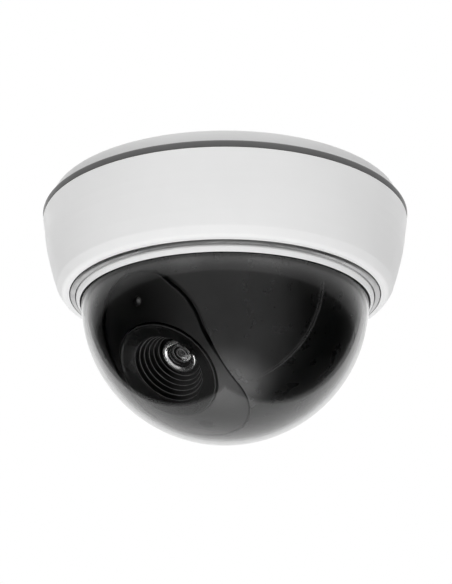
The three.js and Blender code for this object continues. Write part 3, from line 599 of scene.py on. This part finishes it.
def dome_rings():
    low, high = levels("lower_trim_ring")
    turned_piece("lower_trim_ring", [(TRIM_INNER_R, high, 0.1), (TRIM_OUTER_R, high, 0.1),
        (TRIM_OUTER_R, -35.35, 0.25), (54.0, -35.75, 0.5), (TRIM_INNER_R, low, 0.2)], CHROME, "cover",
        "chrome_trim", ["lower_trim_ring"], sides=256)
    low, high = levels("dome_retaining_ring")
    turned_piece("dome_retaining_ring", [(RING_INNER_R, high, 0.1), (RING_INNER_R, low, 0.15),
        (RING_INNER_R + 0.5, low + 0.05, 0.25), (RING_OUTER_R, -36.6, 0.25),
        (RING_OUTER_R, RING_FLANGE_Z, 0.1), (DOME_FLANGE_R, RING_FLANGE_Z, 0.2),
        (DOME_FLANGE_R, high, 0.2)], WHITE, "cover", "white_plastic", ["dome_retaining_ring"],
        sides=256, notched=True)
    low, high = levels("dome_gasket")
    turned_piece("dome_gasket", [(51.3, low, 0.2), (57.2, low, 0.3), (57.2, high, 0.3), (51.3, high, 0.2)],
        RUBBER, "cover", "rubber", ["dome_gasket"], notched=True)
    low, high = levels("dome_clamp_ring")
    turned_piece("dome_clamp_ring", [(CLAMP_INNER_R, low, 0.3), (CLAMP_OUTER_R, low, 0.3),
        (CLAMP_OUTER_R, high, 0.5), (CLAMP_INNER_R, high, 0.5)], BLACK, "cover", "black_plastic",
        ["dome_clamp_ring"])


def smoked_dome():
    inside = DOME_R - DOME_T
    top = levels("smoked_dome")[1]
    corners = [*sphere_arc(DOME_R, -90, 0, 64, BALL_Z), (DOME_R, DOME_FLANGE_Z, 0.4),
        (DOME_FLANGE_R, DOME_FLANGE_Z, 0.3), (DOME_FLANGE_R, top, 0.3), (inside, top, 0.5),
        *sphere_arc(inside, 0, -90, 64, BALL_Z)]
    turned_piece("smoked_dome", corners, SMOKED, "cover", "smoked_dome", ["smoked_dome"], closed=False,
        sides=256, notched=True)


# ---- Pan stage -----------------------------------------------------------------------------------------
def pan_turntable():
    low, high = levels("pan_turntable")
    bore = HUB_R + 0.1
    under = [(30, low, 0.2), (30.4, low + 0.5, 0.2), (41, low + 0.5, 0.2), (41.4, low, 0.2)]
    over = [(41.4, high, 0.2), (41, high - 0.4, 0.2), (27, high - 0.4, 0.2), (26.6, high, 0.2)]
    edge = [(TABLE_R, low, 0.5), (TABLE_R, high, 0.5)]
    corners = [(bore, low, 0.25), *under, *edge, *over, (bore, high, 0.25)]
    turned_piece("pan_turntable", corners, BLACK, "pan_stage", "black_plastic", ["pan_turntable"])


def yoke_arms():
    for name, side in (("yoke_arm_left", -1), ("yoke_arm_right", 1)):
        low, high = box_mm(name)
        outer, inner = ARM_OUTER_X, ARM_INNER_X
        half = high.y
        top = high.z
        place = Matrix.Rotation(0 if side > 0 else math.pi, 4, "Z")
        to_side = place @ Matrix(((0, 0, 1, 0), (1, 0, 0, 0), (0, 1, 0, 0), (0, 0, 0, 1)))
        end = [(half * math.cos(a), BALL_Z + half * math.sin(a)) for a in
            [math.pi + math.pi * k / 32 for k in range(33)]]
        shoulder = half * 0.8
        leg = prism([*end, (shoulder, top - 8), (half, top - 4), (half, top), (-half, top), (-half, top - 4),
            (-shoulder, top - 8)], inner, outer, to_side)
        foot_low = min(abs(low.x), abs(high.x))
        foot = prism([(foot_low, -half), (outer, -half), (outer, half), (foot_low, half)], top - 2, top,
            place)
        rib = prism([(inner - 7, top - 2), (inner, top - 11), (inner, top - 2)], -0.8, 0.8,
            place @ Matrix(((1, 0, 0, 0), (0, 0, 1, 0), (0, 1, 0, 0), (0, 0, 0, 1))))
        work = bmesh.new()
        for mesh in (leg, foot, rib):
            work.from_mesh(mesh)
            bpy.data.meshes.remove(mesh)
        joined = bpy.data.meshes.new(name)
        work.to_mesh(joined)
        work.free()
        made = piece(name, joined, BLACK, "pan_stage", "black_plastic", name)
        pivot = place @ Matrix.Translation(BALL) @ Matrix.Rotation(math.pi / 2, 4, "Y")
        cut(made, rod(PIVOT_R + 0.1, inner - 1, outer + 1, pivot))
        softened(made, 0.3)


def tilt_washers():
    for name, side in (("tilt_washer_left", -1), ("tilt_washer_right", 1)):
        place = Matrix.Translation(BALL) @ Matrix.Rotation(side * math.pi / 2, 4, "Y")
        bore, low, high = PIVOT_R + 0.2, ARM_OUTER_X + 0.2, ARM_OUTER_X + 0.7
        corners = [(bore, low, 0.1), (TILT_WASHER_R, low, 0.15), (TILT_WASHER_R, high, 0.15),
            (bore, high, 0.1)]
        turned_piece(name, corners, NYLON, "pan_stage", "nylon", [name], sides=64, place=place)


# ---- Eye -----------------------------------------------------------------------------------------------
def on_sphere(point, radius):
    """A flat (x, y) point raised along the lens axis onto a sphere about the ball's centre."""
    return Vector((point.x, point.y, math.sqrt(radius ** 2 - point.x ** 2 - point.y ** 2)))


def smooth_step(value):
    share = min(max(value, 0.0), 1.0)
    return share * share * (3 - 2 * share)


def face_radius(point):
    """The panel lies a little deeper towards its upper end."""
    return FACE_R - 0.55 * smooth_step((point.y - 6) / 22)


def seam_width(point):
    """The groove round the panel opens out towards its upper shoulder on one side."""
    return 0.35 + 1.5 * smooth_step((point.y + 6) / 20) * smooth_step((point.x - 8) / 7)


def face_plate():
    fillet = 0.3

    def outline(inset):
        edge = stadium(LOBE_CAP_R, LOBE_STRAIGHT, AROUND)
        return [p + (Vector((0, min(max(p.y, -LOBE_STRAIGHT), LOBE_STRAIGHT))) - p).normalized()
            * (seam_width(p) + inset) for p in edge]

    directions = [p.normalized() for p in outline(0)]

    def hole(radius):
        return [d * radius for d in directions]

    def across(share, radius_of):
        start, end = hole(FACE_HOLE_R + fillet), outline(fillet)
        points = [a.lerp(b, share) for a, b in zip(start, end)]
        return [on_sphere(p, radius_of(p)) for p in points]

    rings = [across(k / 24, face_radius) for k in range(25)]
    for k in range(1, 5):
        angle = math.pi / 2 * k / 4
        inset, drop = fillet * (1 - math.sin(angle)), fillet * (1 - math.cos(angle))
        rings.append([on_sphere(p, face_radius(p) - drop) for p in outline(inset)])
    flange = stadium(LOBE_CAP_R + 1.8, LOBE_STRAIGHT, AROUND)
    rings.append([on_sphere(p, 46.45) for p in outline(0)])
    rings.append([on_sphere(p, 46.4) for p in flange])
    rings.append([on_sphere(p, 45.3) for p in flange])
    rings += [across(1 - k / 12, lambda p: FACE_BACK_R) for k in range(13)]
    rings.append([on_sphere(p, FACE_BACK_R + 0.1) for p in hole(FACE_HOLE_R)])
    for k in range(4):
        angle = math.pi / 2 * k / 4
        inset, drop = fillet * (1 - math.cos(angle)), fillet * (1 - math.sin(angle))
        rings.append([on_sphere(p, face_radius(p) - drop) for p in hole(FACE_HOLE_R + inset)])
    mesh = to_mesh("face_plate", [moved(loft(rings, True), LENS_FRAME)])
    made = piece("face_plate", mesh, PANEL, "eye", "shroud_plastic", "face_plate")
    led = LENS_FRAME @ Matrix.Rotation(-LED_ANGLE, 4, "X")
    window = LENS_FRAME @ Matrix.Rotation(-WINDOW_ANGLE, 4, "X")
    cut(made, rod(1.75, 46.9, 55, led), rod(1.4, 40, 55, led), rod(2.6, 40, 55, window))
    turned_piece("status_led", [(0, 44.6, 0), (1.25, 44.6, 0.1), (1.25, 46.8, 0.1), (0.85, 46.8, 0.1),
        (0.85, 47.3, 0.4), (0, 47.75, 0)], LED, "eye", "led_clear", ["status_led"], closed=False, sides=48,
        place=led)
    turned_piece("sensor_window", [(0, 45.6, 0), (2.45, 45.6, 0.1), (2.45, 48.1, 0.2), (0, 48.16, 0)], WINDOW,
        "eye", "chip", ["sensor_window"], closed=False, sides=64, place=window)


def inner_shroud():
    fillet = 0.35
    inside = SHROUD_R - SHROUD_T
    rim_angle = math.asin(SHROUD_RIM / SHROUD_R)
    to_lens = Matrix.Rotation(-(math.pi / 2 + LENS_PITCH), 4, "X")

    def edge(offset, radius):
        return [on_sphere(p, radius) for p in stadium(LOBE_CAP_R + offset, LOBE_STRAIGHT, AROUND)]

    def rim(level):
        points = []
        for flat in stadium(LOBE_CAP_R, LOBE_STRAIGHT, AROUND):
            turn = math.atan2(flat.y, flat.x)
            reach = math.cos(level)
            point = Vector((reach * math.cos(turn), -reach * math.sin(turn), math.sin(level)))
            points.append(to_lens @ point)
        return points

    def between(share, radius):
        start = [p.normalized() for p in edge(1, SHROUD_R)]
        return [a.slerp(b, share) * radius for a, b in zip(start, rim(rim_angle - 0.008))]

    rings = []
    for k in range(5):
        angle = math.pi / 2 * k / 4
        rings.append(edge(fillet * (1 - math.cos(angle)), SHROUD_R - fillet * (1 - math.sin(angle))))
    rings.append(edge(0.6, SHROUD_R))
    rings += [between(k / 48, SHROUD_R) for k in range(49)]
    rings.append([p * (SHROUD_R - 0.3) for p in rim(rim_angle + 0.004)])
    rings.append([p * (inside + 0.3) for p in rim(math.asin(SHROUD_RIM / inside))])
    rings += [between(1 - k / 24, inside) for k in range(25)]
    rings.append(edge(0.1, inside))
    rings.append(edge(0, inside + 0.1))
    parts = [moved(loft(rings, True), LENS_FRAME)]
    for side in (-1, 1):
        place = Matrix.Translation(BALL) @ Matrix.Rotation(side * math.pi / 2, 4, "Y")
        outline = rounded([(1.2, 43, 0.1), (SHROUD_BOSS_R, 43, 0.3), (SHROUD_BOSS_R, 47.3, 0),
            (1.2, 47.3, 0)])
        parts.append(moved(spun(outline, True, even_angles(48)), place))
    piece("inner_shroud", to_mesh("inner_shroud", parts), SHROUD, "eye", "shroud_plastic", "inner_shroud")


# ---- Camera module and lens, in lens coordinates -------------------------------------------------------
# s is the distance from the ball's centre along the lens axis.
BEZEL_R = 17.9
RIM_S = 45.4
FLANGE_R = 20.2                # bezel's flange behind the face plate
FLANGE_S = 38.2
FLANGE_T = 1.5
HOOD_R = 13.6                  # bezel's bore, in which the hood sits
HOOD_MOUTH_R = 12.7
HOOD_STEPS = 5
HOOD_STEP_S = 1.5
POST = 11.5
POST_R = 2.3
HOLDER_S = 17.2                # seat of the lens holder and of the posts on the sensor board
HOLDER_R = 7.6
HOLDER_FOOT_R = 9.4
HOLDER_FOOT_T = 2
HOLDER_TOP_S = 30.5
LOCK_RING_S = 31
LENS_FRONT_S = 36.7
LENS_BACK_S = 19.3
LENS_HEAD_R = 6.25
LENS_THREAD_R = 5.9
THREAD_PITCH = 0.7


def lens_bezel():
    flange_top = FLANGE_S + FLANGE_T
    corners = [(BEZEL_R, flange_top, 0.1), (BEZEL_R, RIM_S, 0.3), (17.2, RIM_S, 0.25),
        (16.6, RIM_S - 0.35, 0.4), (HOOD_MOUTH_R, RIM_S - 1.0, 0.25), (HOOD_MOUTH_R, RIM_S - 1.3, 0.1),
        (HOOD_R, RIM_S - 1.3, 0.1), (HOOD_R, FLANGE_S, 0.2), (FLANGE_R, FLANGE_S, 0.4),
        (FLANGE_R, flange_top, 0.3)]
    parts = [spun(rounded(corners), True, even_angles(192))]
    for x in (-POST, POST):
        for y in (-POST, POST):
            post_top = FLANGE_S + 0.4
            post = rounded([(1.2, HOLDER_S, 0.1), (POST_R, HOLDER_S, 0.2), (POST_R, post_top, 0),
                (1.2, post_top, 0)])
            parts.append(moved(spun(post, True, even_angles(32)), Matrix.Translation((x, y, 0))))
    mesh = to_mesh("lens_bezel", [moved(part, LENS_FRAME) for part in parts])
    piece("lens_bezel", mesh, LENS_BLACK, "camera_module", "lens_plastic", "lens_bezel")


def lens_hood():
    front = RIM_S - 1.6
    corners = []
    for k in range(HOOD_STEPS):
        radius, start = HOOD_MOUTH_R - k, front - HOOD_STEP_S * k
        corners += [(radius, start, 0.2), (radius - 0.1, start - HOOD_STEP_S, 0.08)]
    floor_s = front - HOOD_STEP_S * HOOD_STEPS
    back, outer, bore = floor_s - 1.2, HOOD_R - 0.3, HOOD_MOUTH_R - HOOD_STEPS - 0.05
    corners += [(bore, floor_s, 0.2), (bore, back, 0.2), (outer, back, 0.2), (outer, front, 0.2)]
    turned_piece("lens_hood", corners, HOOD, "camera_module", "lens_plastic", ["lens_hood"], place=LENS_FRAME)


def lens_holder():
    bore, foot_top = LENS_THREAD_R + 0.1, HOLDER_S + HOLDER_FOOT_T
    corners = [(bore, HOLDER_S, 0.2), (HOLDER_FOOT_R, HOLDER_S, 0.2), (HOLDER_FOOT_R, foot_top, 0.5),
        (HOLDER_R, foot_top, 0.5), (HOLDER_R, HOLDER_TOP_S, 0.5), (bore, HOLDER_TOP_S, 0.3)]
    mesh = to_mesh("lens_holder", [moved(spun(rounded(corners), True, even_angles(96)), LENS_FRAME)])
    made = piece("lens_holder", mesh, BLACK, "camera_module", "black_plastic", "lens_holder")
    for side in (-1, 1):
        near, far, half = side * 9, side * 13.6, 3.4
        ear = prism([(near, -half), (far, -half), (far, half), (near, half)], HOLDER_S, foot_top, LENS_FRAME)
        work = bmesh.new()
        work.from_mesh(made.data)
        work.from_mesh(ear)
        work.to_mesh(made.data)
        work.free()
        bpy.data.meshes.remove(ear)
    softened(made, 0.25)
    bore, outer, low, high = LENS_THREAD_R + 0.15, 7.9, LOCK_RING_S, LOCK_RING_S + 1.4
    corners = [(bore, low, 0.15), (outer, low, 0.2), (outer, high, 0.2), (bore, high, 0.15)]
    turned_piece("focus_lock_ring", corners, ANODISED, "camera_module", "black_metal",
        ["focus_lock_ring"], sides=96, place=LENS_FRAME)


def lens():
    front = LENS_FRONT_S
    thread = []
    for k in range(18):
        crest = 20 + THREAD_PITCH * k
        thread += [(LENS_THREAD_R, crest, 0.05), (LENS_THREAD_R - 0.28, crest + THREAD_PITCH / 2, 0.05)]
    bore = [(3.2, 31.2, 0.1), (3.2, 22.3, 0.1), (4.6, 22.3, 0.1), (4.6, LENS_BACK_S, 0.2)]
    head = [(LENS_THREAD_R, 33.2, 0.1), (LENS_HEAD_R, 33.2, 0.2), (LENS_HEAD_R, front - 0.8, 0.15)]
    seats = [(5.3, front - 0.8, 0.15), (5.3, 34.6, 0.1), (4.2, 34.6, 0.1), (4.2, 31.2, 0.1)]
    corners = [*bore, (LENS_THREAD_R, LENS_BACK_S, 0.2), *thread, *head, *seats]
    turned_piece("lens_barrel", corners, ANODISED, "lens", "black_metal", ["lens_barrel"], sides=96,
        place=LENS_FRAME, steps=3)
    turned_piece("lens_front_ring", [(4.5, front - 0.75, 0.05), (6.2, front - 0.75, 0.1),
        (LENS_HEAD_R, front - 0.25, 0.2), (5.9, front, 0.3), (5.0, front - 0.1, 0.2),
        (4.5, front - 0.5, 0.1)], FRONT_RING, "lens", "aluminium", ["lens_front_ring"], sides=128,
        place=LENS_FRAME)
    turned_piece("iris_ring", [(1.5, 33.1, 0.05), (3.9, 33.1, 0.1), (3.9, 34.2, 0.1), (3.4, 34.75, 0.2),
        (2.9, 34.75, 0.2), (2.6, 34.1, 0.1), (2.1, 34.1, 0.1), (1.9, 34.75, 0.15), (1.5, 34.75, 0.15)], IRIS,
        "lens", "aluminium", ["iris_ring"], sides=96, place=LENS_FRAME)
    element("front_lens", 4.95, 34.9, 35.3, 1.9, -0.3)
    element("middle_lens", 3.9, 31.5, 32.1, 0.5, 0)
    element("rear_lens", 4.3, 20, 21.4, 0.6, 0.4)


def element(name, radius, back_edge, front_edge, front_bulge, back_bulge):
    """A lens element from its two faces, bulging in front and behind by the given amounts."""
    steps = 16
    shares = [k / steps for k in range(steps + 1)]
    face = [(radius * t, front_edge + front_bulge * (1 - t * t), 0) for t in shares]
    back = [(radius * t, back_edge - back_bulge * (1 - t * t), 0) for t in reversed(shares)]
    turned_piece(name, face + back, GLASS, "lens", "lens_glass", [name], closed=False, sides=96,
        place=LENS_FRAME)


# ---- Screws: head radius, head height, shank radius and length -----------------------------------------
CLAMP_SCREW = (1.3, 1.2, 0.8, 2.4)
RETAINER_SCREW = (1.9, 1.3, 1, 6)
YOKE_SCREW = (1.9, 1.2, 0.9, 3.6)
BOARD_SCREW = (1.9, 1.2, 0.9, 4.5)
HOLDER_SCREW = (1.5, 1, 0.7, 3.4)


def screw(name, body, kind, place):
    """A pan-head screw with a cross recess; its seat is at z = 0 of place and its head points to -Z."""
    head_radius, head_height, shank_radius, length = kind
    corners = [(0, length, 0), (shank_radius, length, 0.1), (shank_radius, 0, 0.05), (head_radius, 0, 0.1),
        (head_radius, -head_height, head_height * 0.6), (0, -head_height, 0)]
    made = turned_piece(name, corners, STEEL, body, "steel", [name], closed=False, sides=32, place=place,
        steps=4)
    arm, slot = head_radius * 0.55, head_radius * 0.12
    cross = [(arm, slot), (slot, slot), (slot, arm), (-slot, arm), (-slot, slot), (-arm, slot), (-arm, -slot),
        (-slot, -slot), (-slot, -arm), (slot, -arm), (slot, -slot), (arm, -slot)]
    cut(made, prism(cross, -head_height - 1, -head_height * 0.45, place))


def screws():
    for i in (1, 2, 3):
        name = f"clamp_screw_{i}"
        head_up = centre_mm(name)
        head_up.z = levels(name)[1] - CLAMP_SCREW[1]
        screw(name, "cover", CLAMP_SCREW, Matrix.Translation(head_up) @ Matrix.Rotation(math.pi, 4, "X"))
        name = f"retainer_screw_{i}"
        seat = centre_mm(name)
        seat.z = levels(name)[0] + RETAINER_SCREW[1]
        screw(name, "base", RETAINER_SCREW, Matrix.Translation(seat))
    for i in (1, 2, 3, 4):
        name = f"yoke_screw_{i}"
        seat = centre_mm(name)
        seat.z = levels(name)[0] + YOKE_SCREW[1]
        screw(name, "pan_stage", YOKE_SCREW, Matrix.Translation(seat))
    posts = [(POST, POST), (-POST, POST), (-POST, -POST), (POST, -POST)]
    for i, (x, y) in enumerate(posts, 1):
        screw(f"board_screw_{i}", "camera_module", BOARD_SCREW, LENS_FRAME @ Matrix.Translation((x, y, 5.2)))
    for i, x in enumerate((11.3, -11.3), 1):
        place = LENS_FRAME @ Matrix.Translation((x, 0, 15.1))
        screw(f"holder_screw_{i}", "camera_module", HOLDER_SCREW, place)
    for name, side in (("tilt_pivot_screw_left", -1), ("tilt_pivot_screw_right", 1)):
        place = Matrix.Translation(BALL) @ Matrix.Rotation(side * math.pi / 2, 4, "Y")
        corners = [(0, 36.2, 0), (3.4, 36.2, 0.5), (3.4, 37.7, 0.15), (PIVOT_R, 37.7, 0.05),
            (PIVOT_R, 42.7, 0.1), (0.9, 42.7, 0.05), (0.9, 46.5, 0.2), (0, 46.5, 0)]
        made = turned_piece(name, corners, STEEL, "eye", "steel", [name], closed=False, sides=48, place=place)
        cut(made, prism([(-3.6, -0.35), (3.6, -0.35), (3.6, 0.35), (-3.6, 0.35)], 35, 37, place))


# ---- CAD nodes that keep their shape -------------------------------------------------------------------
def keep_nodes():
    kept = {
        STEEL: [f"cover_clip_{i}" for i in (1, 2, 3)],
        ALUMINIUM: [f"board_standoff_{i}" for i in (1, 2, 3, 4)],
        BOARD: ["sensor_board", "processor_board"],
        CHIP: ["image_sensor", "video_processor"],
        NYLON: ["board_connector"],
    }
    for material, names in kept.items():
        for name in names:
            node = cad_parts[name]
            node.data.materials.clear()
            node.data.materials.append(material)
            softened(node, 0.12, 2)


# ---- Stage: floor, light and camera --------------------------------------------------------------------
def floor():
    size, height = 20.0, -2.0
    grid = bmesh.new()
    bmesh.ops.create_grid(grid, x_segments=1, y_segments=1, size=size)
    mesh = bpy.data.meshes.new("floor")
    grid.to_mesh(mesh)
    grid.free()
    made = bpy.data.objects.new("floor", mesh)
    made.location.z = height
    bpy.context.scene.collection.objects.link(made)
    mesh.materials.append(moulded("floor_paint", grey(0.8), 0.7, texture_mm=2.0, mottle=0.01, edge_highlight_and_rubbing=1.0))
    made.visible_glossy = False


def biggest(tree, *values):
    result = values[0]
    for value in values[1:]:
        result = math_node(tree, "MAXIMUM", result, value)
    return result


def outside_light(tree, right, back, up):
    """What every mirrored ray meets: a ceiling, a sweep behind, the floor in front and one bright edge."""
    aside = math_node(tree, "ABSOLUTE", right)
    off_patch = math_node(tree, "ABSOLUTE", math_node(tree, "SUBTRACT", aside, 0.47))
    patches = ramp(tree, off_patch, 0.25, 0.05, 1.5, 1.9)
    height = math_node(tree, "MULTIPLY", ramp(tree, up, 0.05, 0.085), ramp(tree, up, 0.08, 0.4, 0.15, 1.0))
    ceiling = math_node(tree, "MULTIPLY", height, patches)
    leftward = math_node(tree, "MULTIPLY", right, -1.2)
    sideways = biggest(tree, leftward, math_node(tree, "MULTIPLY", right, 1.05))
    sweep = ramp(tree, math_node(tree, "SUBTRACT", back, sideways), -0.03, 0.05)
    floor_front = ramp(tree, up, -0.78, -0.94, 0.0, 0.17)
    off_edge = math_node(tree, "ABSOLUTE", math_node(tree, "MULTIPLY_ADD", back, 6.2, right))
    strength = ramp(tree, right, 0.2, 0.6, 0.0, 0.7)
    bright_edge = math_node(tree, "MULTIPLY", ramp(tree, off_edge, 0.1, 0.04), strength)
    return biggest(tree, ceiling, sweep, floor_front, bright_edge)


def inside_light(tree, right, back, up):
    """What only a ray that leaves the dome meets as well: a soft light in front and one straight below."""
    front = ramp(tree, back, 0.15, -0.45, 0.0, ROOM_STRENGTH)
    between = math_node(tree, "MULTIPLY", ramp(tree, right, -0.84, -0.6), ramp(tree, right, 0.92, 0.62))
    below = ramp(tree, up, -0.88, -0.96, 0.0, BELOW_STRENGTH)
    return biggest(tree, math_node(tree, "MULTIPLY", front, between), below)


def matt_light(tree, back, up):
    """What matt surfaces meet: even light, a little stronger overhead and strongest in front."""
    above = biggest(tree, up, 0.0)
    ahead = biggest(tree, math_node(tree, "MULTIPLY", back, -1.0), 0.0)
    overhead = math_node(tree, "MULTIPLY_ADD", math_node(tree, "MULTIPLY", above, above), 0.25, 0.26)
    return math_node(tree, "MULTIPLY_ADD", math_node(tree, "MULTIPLY", ahead, ahead), 1.46, overhead)


def studio():
    """A white studio, whose directions are right, back and up as the photo's side sees them."""
    world = bpy.data.worlds.new("studio")
    bpy.context.scene.world = world
    world.use_nodes = True
    tree = world.node_tree
    tree.nodes.clear()
    direction = add(tree, "ShaderNodeTexCoord").outputs["Generated"]
    turned = add(tree, "ShaderNodeVectorRotate", {"Vector": direction, "Angle": -PHOTO_AZIMUTH},
        rotation_type="Z_AXIS").outputs[0]
    right, back, up = add(tree, "ShaderNodeSeparateXYZ", {0: turned}).outputs
    path = add(tree, "ShaderNodeLightPath").outputs
    from_dome = math_node(tree, "GREATER_THAN", path["Transparent Depth"], DOME_CROSSINGS)
    mirrored = math_node(tree, "MULTIPLY_ADD", inside_light(tree, right, back, up), from_dome,
        outside_light(tree, right, back, up))
    backdrop, mirror_world, matt_world = [
        add(tree, "ShaderNodeBackground", {"Color": grey(1), "Strength": strength}).outputs[0]
        for strength in (1.0, mirrored, matt_light(tree, back, up))]
    lit = add(tree, "ShaderNodeMixShader", {0: path["Is Glossy Ray"], 1: matt_world, 2: mirror_world})
    shown = add(tree, "ShaderNodeMixShader", {0: path["Is Camera Ray"], 1: lit.outputs[0], 2: backdrop})
    world.cycles.sampling_method = "NONE"
    out = tree.nodes.new("ShaderNodeOutputWorld")
    tree.links.new(shown.outputs[0], out.inputs["Surface"])


def fill_light():
    """A wide soft box underneath, which lights undersides."""
    data = bpy.data.lights.new("fill", "AREA")
    data.size = 0.9
    data.energy = 3.8
    made = bpy.data.objects.new("fill", data)
    made.location = (0, -0.1, -0.58)
    made.rotation_euler = (math.pi, 0, 0)
    made.visible_camera = False
    made.visible_glossy = False
    bpy.context.scene.collection.objects.link(made)


def camera():
    distance, target = 0.527, Vector((0, 0, -0.0324))
    back = Vector((math.sin(PHOTO_AZIMUTH) * math.cos(PHOTO_ELEVATION),
        -math.cos(PHOTO_AZIMUTH) * math.cos(PHOTO_ELEVATION), math.sin(PHOTO_ELEVATION)))
    data = bpy.data.cameras.new("camera")
    data.lens = 91.6
    data.sensor_width = 36
    data.shift_x = 0.0015
    data.clip_start = 0.01
    made = bpy.data.objects.new("camera", data)
    bpy.context.scene.collection.objects.link(made)
    made.location = target + back * distance
    made.rotation_euler = (-back).to_track_quat("-Z", "Y").to_euler()
    bpy.context.scene.camera = made


camera()
mount_base()
cable_grommet()
pan_bearing()
upper_trim_ring()
housing_shell()
dome_rings()
smoked_dome()
pan_turntable()
yoke_arms()
tilt_washers()
face_plate()
inner_shroud()
lens_bezel()
lens_hood()
lens_holder()
lens()
screws()
keep_nodes()
floor()
studio()
fill_light()
bpy.context.scene.view_settings.view_transform = "Standard"
